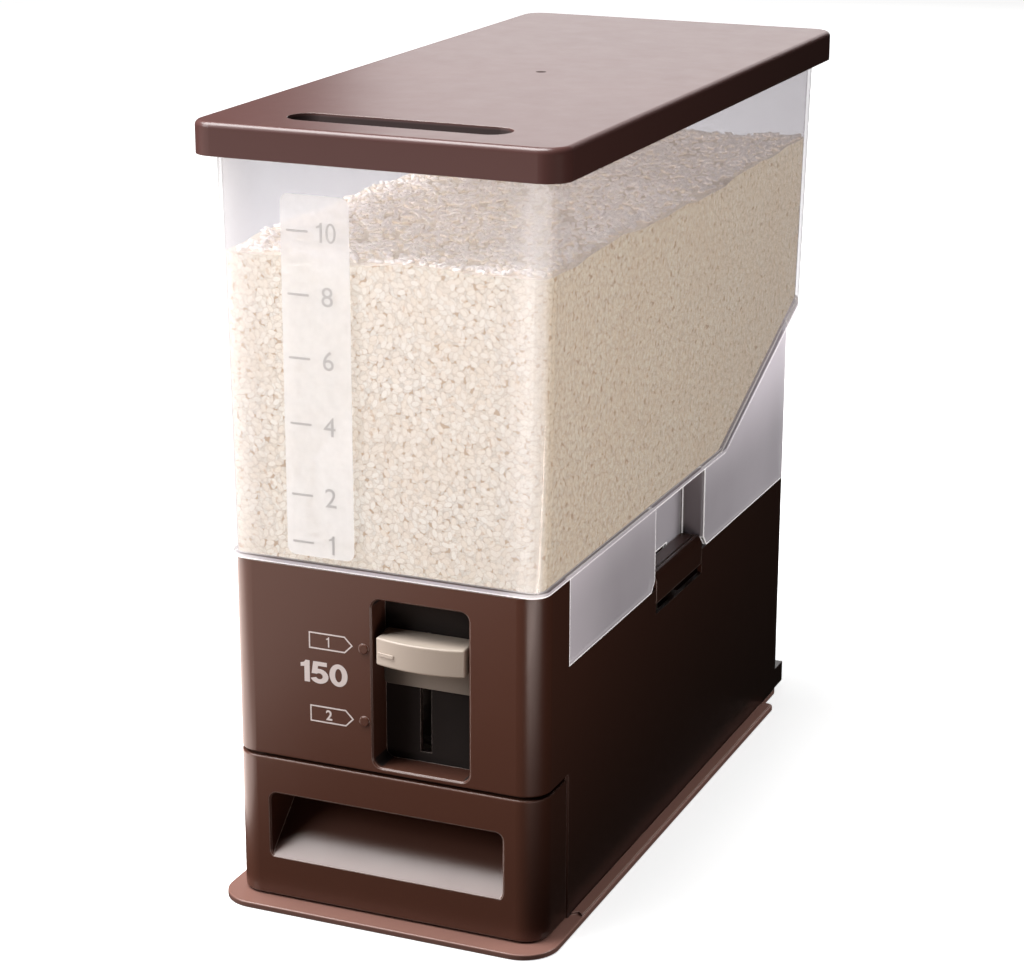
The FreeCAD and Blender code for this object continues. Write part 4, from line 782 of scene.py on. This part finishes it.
class DISPENSER_OT_rice(bpy.types.Operator):
    """Fill the hopper with rice and strew loose grains on top"""
    bl_idname = "dispenser.rice"
    bl_label = "Fill with Rice"

    def execute(self, context):
        s = context.scene.dispenser_rice
        top = rice_outline(s.level)
        middle_y = (min(y for _, y in top) + max(y for _, y in top)) / 2
        fill = new_piece("rice_fill", *self.heap(s.level, top, middle_y), rice_skin("rice_fill", s))
        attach(fill, "hopper")
        loose = new_piece("rice_loose", *self.strewn(s), loose_rice("loose_rice", s), smooth=True)
        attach(loose, "hopper")
        return {"FINISHED"}

    def heap(self, level, top, middle_y):
        """The rice's walls and its humped top, as rings of points that close on the top's middle."""
        _, rear = hopper_section(NEAR_KNEE, RICE_INSET)
        knee = RICE_FLOOR + (rear - SLOPE_START_Y) * SLOPE_TANGENT
        heights = sorted([RICE_FLOOR, knee, *np.linspace(RICE_FLOOR + 4 * MM, level, 18)])
        rings = [[(x, y, height) for x, y in rice_outline(height)] for height in heights]
        for shrink in np.linspace(0.93, 0.0, 15)[:-1]:
            rings.append([(x * shrink, middle_y + (y - middle_y) * shrink, level) for x, y in top])
        points = np.array(rings, float)
        raised = points[len(heights) - 1:]
        raised[..., 2] += rice_relief(raised[..., 0], raised[..., 1])
        vertices = [*points.reshape(-1, 3), (0.0, middle_y, level + rice_relief(0.0, middle_y))]
        count, centre = len(top), len(vertices) - 1
        last = centre - count
        faces = [(low + i, low + (i + 1) % count, low + count + (i + 1) % count, low + count + i)
                 for low in range(0, last, count) for i in range(count)]
        faces += [(last + i, last + (i + 1) % count, centre) for i in range(count)]
        faces.append(tuple(reversed(range(count))))
        return vertices, faces

    def strewn(self, s):
        """Loose grains over the rice's top, as one mesh."""
        random = np.random.RandomState(s.seed)
        half, rear = hopper_section(s.level, WALL + LOOSE_SIDE_GAP)
        x = random.uniform(-half, half, s.loose)
        y = random.uniform(FRONT_Y + RICE_INSET + LOOSE_FRONT_GAP, rear, s.loose)
        z = s.level + rice_relief(x, y) + random.uniform(0.4, 1.3, s.loose) * MM
        yaw = random.uniform(0, 2 * math.pi, s.loose)
        tilt = random.normal(0.0, 0.3, s.loose)
        size = random.uniform(0.88, 1.08, s.loose)
        shape, sides = grain_shape(s.grain_length, s.grain_width)
        vertices, faces = [], []
        for i in range(s.loose):
            turn = Matrix.Rotation(yaw[i], 3, "Z") @ Matrix.Rotation(tilt[i], 3, "Y")
            vertices.append(shape * size[i] @ np.array(turn).T + (x[i], y[i], z[i]))
            faces += [tuple(index + len(shape) * i for index in side) for side in sides]
        return np.concatenate(vertices), faces


MARKS = ((10, 369.2), (8, 336.9), (6, 304.2), (4, 270.0), (2, 232.5), (1, 207.3))  # number, height in mm
MARK_DASH_X, MARK_NUMBER_X = mm(-49.5, -37.4), -27.4 * MM
MARK_DASH_HALF, MARK_NUMBER_HEIGHT = mm(0.6, 10.0)


class DISPENSER_OT_marks(bpy.types.Operator):
    """Print the level marks on the film"""
    bl_idname = "dispenser.marks"
    bl_label = "Print Level Marks"

    def execute(self, context):
        s = context.scene.dispenser_print
        face_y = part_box("level_scale")[0].y
        shapes = []
        for number, height in MARKS:
            z = height * MM
            dash = rounded_bar(MARK_DASH_X, (z - MARK_DASH_HALF, z + MARK_DASH_HALF))
            shapes.append(front_plate(dash, face_y, s.thickness))
            text, centre = str(number), (MARK_NUMBER_X, z)
            if number in (1, 10):
                shapes += slim_digits(text, centre, MARK_NUMBER_HEIGHT, face_y, s.thickness)
            else:
                shapes.append(number_shape(text, centre, MARK_NUMBER_HEIGHT, 0.0, face_y, s.thickness))
        marks = new_piece("level_marks", *join_shapes(shapes), printed_ink("level_ink", (*s.mark, 1.0)))
        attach(marks, "hopper")
        return {"FINISHED"}


TAGS = ((1, 154.1), (2, 113.5))  # number, height in mm
TAG_LEFT, TAG_RIGHT, TAG_NUMBER_X = mm(-41.9, -16.6, -31.0)
TAG_HEIGHT, TAG_LINE, TAG_NUMBER_HEIGHT = mm(9.2, 0.75, 5.6)
MEASURE_CORNER, MEASURE_HEIGHT = mm(-47.0, 130.6), 11.9 * MM


class DISPENSER_OT_prints(bpy.types.Operator):
    """Print the two pointing tags and the measure's number on the base"""
    bl_idname = "dispenser.prints"
    bl_label = "Print Front"

    def execute(self, context):
        s = context.scene.dispenser_print
        shapes = []
        for number, height in TAGS:
            outer, inner = (tag_outline(TAG_LEFT, TAG_RIGHT, height * MM, TAG_HEIGHT, inset)
                            for inset in (0.0, TAG_LINE))
            shapes.append(front_ring(outer, inner, FRONT_Y, s.thickness))
            text, centre = str(number), (TAG_NUMBER_X, height * MM)
            if number == 1:
                shapes += slim_digits(text, centre, TAG_NUMBER_HEIGHT, FRONT_Y, s.thickness)
            else:
                shapes.append(number_shape(text, centre, TAG_NUMBER_HEIGHT, 0.02, FRONT_Y, s.thickness))
        shapes += bold_digits(MEASURE_CORNER, MEASURE_HEIGHT, FRONT_Y, s.thickness)
        prints = new_piece("front_prints", *join_shapes(shapes), printed_ink("front_ink", (*s.ink, 1.0)))
        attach(prints, "base")
        return {"FINISHED"}


class DISPENSER_OT_works(bpy.types.Operator):
    """Give the inner parts, gears, fasteners and soft parts their finishes"""
    bl_idname = "dispenser.works"
    bl_label = "Finish Works"

    def execute(self, context):
        inner = moulded_plastic("inner_plastic", (0.42, 0.38, 0.34, 1.0), 0.42, edge=0.3 * MM)
        dress(inner, "deck", "drum_case", "drum_case_end", "rack_guide")
        dress(moulded_plastic("tray_plastic", (0.62, 0.58, 0.54, 1.0), 0.38, edge=0.4 * MM), "drawer_tray")
        gear = moulded_plastic("gear_plastic", (0.80, 0.78, 0.72, 1.0), 0.33, edge=0.2 * MM)
        dress(gear, "drum_pinion", "lever_rack", "measuring_drum", "bush_front", "bush_rear")
        dress(turned_steel("steel"), "drum_axle", "axle_clip", "latch_pins", "latch_springs", "floor_screws",
              "deck_screws", "drawer_screws", "lever_screws", "guide_screws", "case_screws")
        dress(soft_rubber("grey_rubber", (0.16, 0.15, 0.15, 1.0)), "foot_pads")
        dress(soft_rubber("pale_rubber", (0.55, 0.53, 0.50, 1.0)), "inlet_seal")
        return {"FINISHED"}


# ---- studio ------------------------------------------------------------------------------------------------

CAMERA_PLACE = (0.5715, -1.38355, 0.6525)
CAMERA_FORWARD = (-0.37353, 0.87739, -0.30109)
CAMERA_ROLL = math.radians(0.118)
OBJECT_CENTRE = Vector((0.0, 0.0, 0.2))

WARM = (1.0, 0.86, 0.80)
AMBER = (1.0, 0.84, 0.56)
COOL = (0.75, 0.88, 1.0)

CLEAR_PIECES = ("hopper", "level_scale")
RICE_PIECES = ("rice_fill", "rice_loose", "level_marks")


def aimed(place, target, roll=0.0):
    """Matrix of a light or camera at a place that looks at a target."""
    forward = (Vector(target) - Vector(place)).normalized()
    turn = forward.to_track_quat("-Z", "Y").to_matrix().to_4x4() @ Matrix.Rotation(roll, 4, "Z")
    return Matrix.Translation(Vector(place)) @ turn


def pieces(*names):
    """The scene's pieces of these names."""
    return [piece for piece in bpy.context.scene.objects if piece.name in names]


def all_pieces_but(*names):
    """The scene's other pieces."""
    return [piece for piece in bpy.context.scene.objects if piece.type == "MESH" and piece.name not in names]


def soft_light(name, place, target, size, power, turn=0.0, colour=(1.0, 1.0, 1.0), spread=None,
               receivers=(), blockers=()):
    """Rectangular light that the camera doesn't see, turned about its aim by some degrees.

    Spread is the angle of its cone in degrees. It may light only its receivers, and be shaded only by its
    blockers.
    """
    light = bpy.data.lights.new(name, "AREA")
    light.shape = "RECTANGLE"
    light.size, light.size_y = size
    light.energy = power
    light.color = colour
    if spread:
        light.spread = math.radians(spread)
    lamp = bpy.data.objects.new(name, light)
    bpy.context.scene.collection.objects.link(lamp)
    lamp.matrix_world = aimed(place, target, math.radians(turn))
    lamp.visible_camera = False
    for role, members in (("receiver_collection", receivers), ("blocker_collection", blockers)):
        if members:
            linked = bpy.data.collections.new(name + "_" + role)
            for piece in members:
                linked.objects.link(piece)
            setattr(lamp.light_linking, role, linked)


class DISPENSER_OT_studio(bpy.types.Operator):
    """Build the pale floor, the soft lights and the camera"""
    bl_idname = "dispenser.studio"
    bl_label = "Build Studio"

    def execute(self, context):
        s = context.scene.dispenser_studio
        self.floor()
        self.surroundings(context)
        self.lights(s)
        self.camera(context, s.lens)
        view = context.scene.view_settings
        view.view_transform = "Standard"
        view.look = "None"
        return {"FINISHED"}

    def camera(self, context, lens):
        """Camera before the front, to the right of its middle and above the lid."""
        camera = bpy.data.cameras.new("camera")
        camera.lens = lens
        camera.sensor_width = 36.0
        holder = bpy.data.objects.new("camera", camera)
        context.scene.collection.objects.link(holder)
        place = Vector(CAMERA_PLACE)
        holder.matrix_world = aimed(place, place + Vector(CAMERA_FORWARD), CAMERA_ROLL)
        bpy.context.scene.camera = holder

    def floor(self):
        """Round pale floor that glows a little, so that the object stands on white."""
        f = Finish("pale_floor")
        mottle = f.noise(3.0, detail=3.0)
        material = f.finish(f.plastic(f.tint((0.86, 0.86, 0.86, 1.0), 0.98 + mottle * 0.04), 0.8,
                                      Emission_Color=(1.0, 1.0, 1.0, 1.0), Emission_Strength=0.8))
        reach, steps = 6.0, 48
        ring = [(reach * math.cos(2 * math.pi * i / steps), reach * math.sin(2 * math.pi * i / steps), 0.0)
                for i in range(steps)]
        floor = new_piece("floor", ring, [tuple(range(steps))], material)
        floor.visible_glossy = False
        floor.visible_diffuse = False

    def surroundings(self, context):
        """White where the camera sees them, nearly dark as a light."""
        f = Finish("studio", bpy.data.worlds)
        seen = f.signal("ShaderNodeBackground", inputs={"Color": (1.0, 1.0, 1.0, 1.0), "Strength": 1.05})
        dim = f.signal("ShaderNodeBackground", inputs={"Color": (1.0, 0.82, 0.72, 1.0), "Strength": 0.02})
        in_view = f.signal("ShaderNodeLightPath", output="Is Camera Ray")
        both = f.signal("ShaderNodeMixShader", inputs={0: in_view, 1: dim, 2: seen})
        f.node("ShaderNodeOutputWorld", inputs={"Surface": both})
        context.scene.world = f.block

    def lights(self, s):
        """The studio's lights: each with its place, target, size and power, in metres and watts.

        A card lies on the floor and shines straight up, like white card that throws light back.
        """
        clear, rice = pieces(*CLEAR_PIECES), pieces(*RICE_PIECES)
        unfilled = all_pieces_but(*CLEAR_PIECES, *RICE_PIECES)
        soft_light("key", (-1.9, -1.7, 1.35), OBJECT_CENTRE, (1.2, 1.2), s.key)
        soft_light("overhead", (-0.75, -0.4, 2.0), (-0.3, -0.2, 0.4), (1.3, 1.9), s.overhead)
        soft_light("back", (-0.6, 3.3, 1.2), (0.0, 0.0, 0.42), (2.2, 1.3), 13.5)
        soft_light("left_card", (-1.1, -1.15, 0.004), (-1.1, -1.15, 1.0), (1.8, 1.7), 14.0, colour=WARM)
        soft_light("side_card", (-0.47, 0.1, 0.004), (-0.47, 0.1, 1.0), (0.6, 0.9), 6.5, colour=WARM,
                   receivers=unfilled)
        soft_light("corner_card", (0.62, -0.46, 0.004), (0.62, -0.46, 1.0), (0.8, 0.09), 4.6, turn=-23.0,
                   colour=WARM)
        soft_light("hopper_fill", (1.3, 0.75, 0.75), (0.0, 0.05, 0.25), (1.0, 1.0), 24.0, receivers=clear)
        soft_light("rice_side", (1.8, 0.3, 0.8), (0.0, 0.0, 0.3), (1.2, 1.2), 21.0, colour=AMBER,
                   receivers=pieces("rice_fill"))
        soft_light("rice_front", (-0.15, -1.0, 0.45), (0.0, -0.2, 0.28), (0.3, 0.3), 1.15, colour=COOL,
                   receivers=rice, blockers=rice)
        soft_light("rice_top", (-0.3, -0.45, 1.05), (-0.05, -0.15, 0.355), (0.3, 0.3), 0.68, spread=50.0,
                   receivers=rice, blockers=rice)
        soft_light("foot_fill", (1.1, 0.2, 0.9), (0.09, 0.0, 0.0), (0.8, 0.8), 12.0,
                   receivers=pieces("floor_plate"))


# ---- add-on ------------------------------------------------------------------------------------------------

STEPS = (DISPENSER_OT_casing, DISPENSER_OT_hopper, DISPENSER_OT_rice, DISPENSER_OT_marks, DISPENSER_OT_prints,
         DISPENSER_OT_works, DISPENSER_OT_studio)


class DISPENSER_PT_panel(bpy.types.Panel):
    """The dispenser's steps and settings"""
    bl_idname = "DISPENSER_PT_panel"
    bl_label = "Rice Dispenser"
    bl_space_type = "VIEW_3D"
    bl_region_type = "UI"
    bl_category = "Dispenser"

    def draw(self, context):
        for step in STEPS:
            self.layout.operator(step.bl_idname)
        for name, group in SETTINGS.items():
            box = self.layout.box()
            for setting in group.__annotations__:
                box.prop(getattr(context.scene, name), setting)


CLASSES = (*SETTINGS.values(), *STEPS, DISPENSER_PT_panel)


def register():
    for item in CLASSES:
        bpy.utils.register_class(item)
    for name, group in SETTINGS.items():
        setattr(bpy.types.Scene, name, bpy.props.PointerProperty(type=group))


def unregister():
    for name in SETTINGS:
        delattr(bpy.types.Scene, name)
    for item in reversed(CLASSES):
        bpy.utils.unregister_class(item)


def main():
    register()
    bpy.ops.dispenser.casing()
    bpy.ops.dispenser.hopper()
    bpy.ops.dispenser.rice()
    bpy.ops.dispenser.marks()
    bpy.ops.dispenser.prints()
    bpy.ops.dispenser.works()
    bpy.ops.dispenser.studio()


if __name__ == "__main__":
    main()
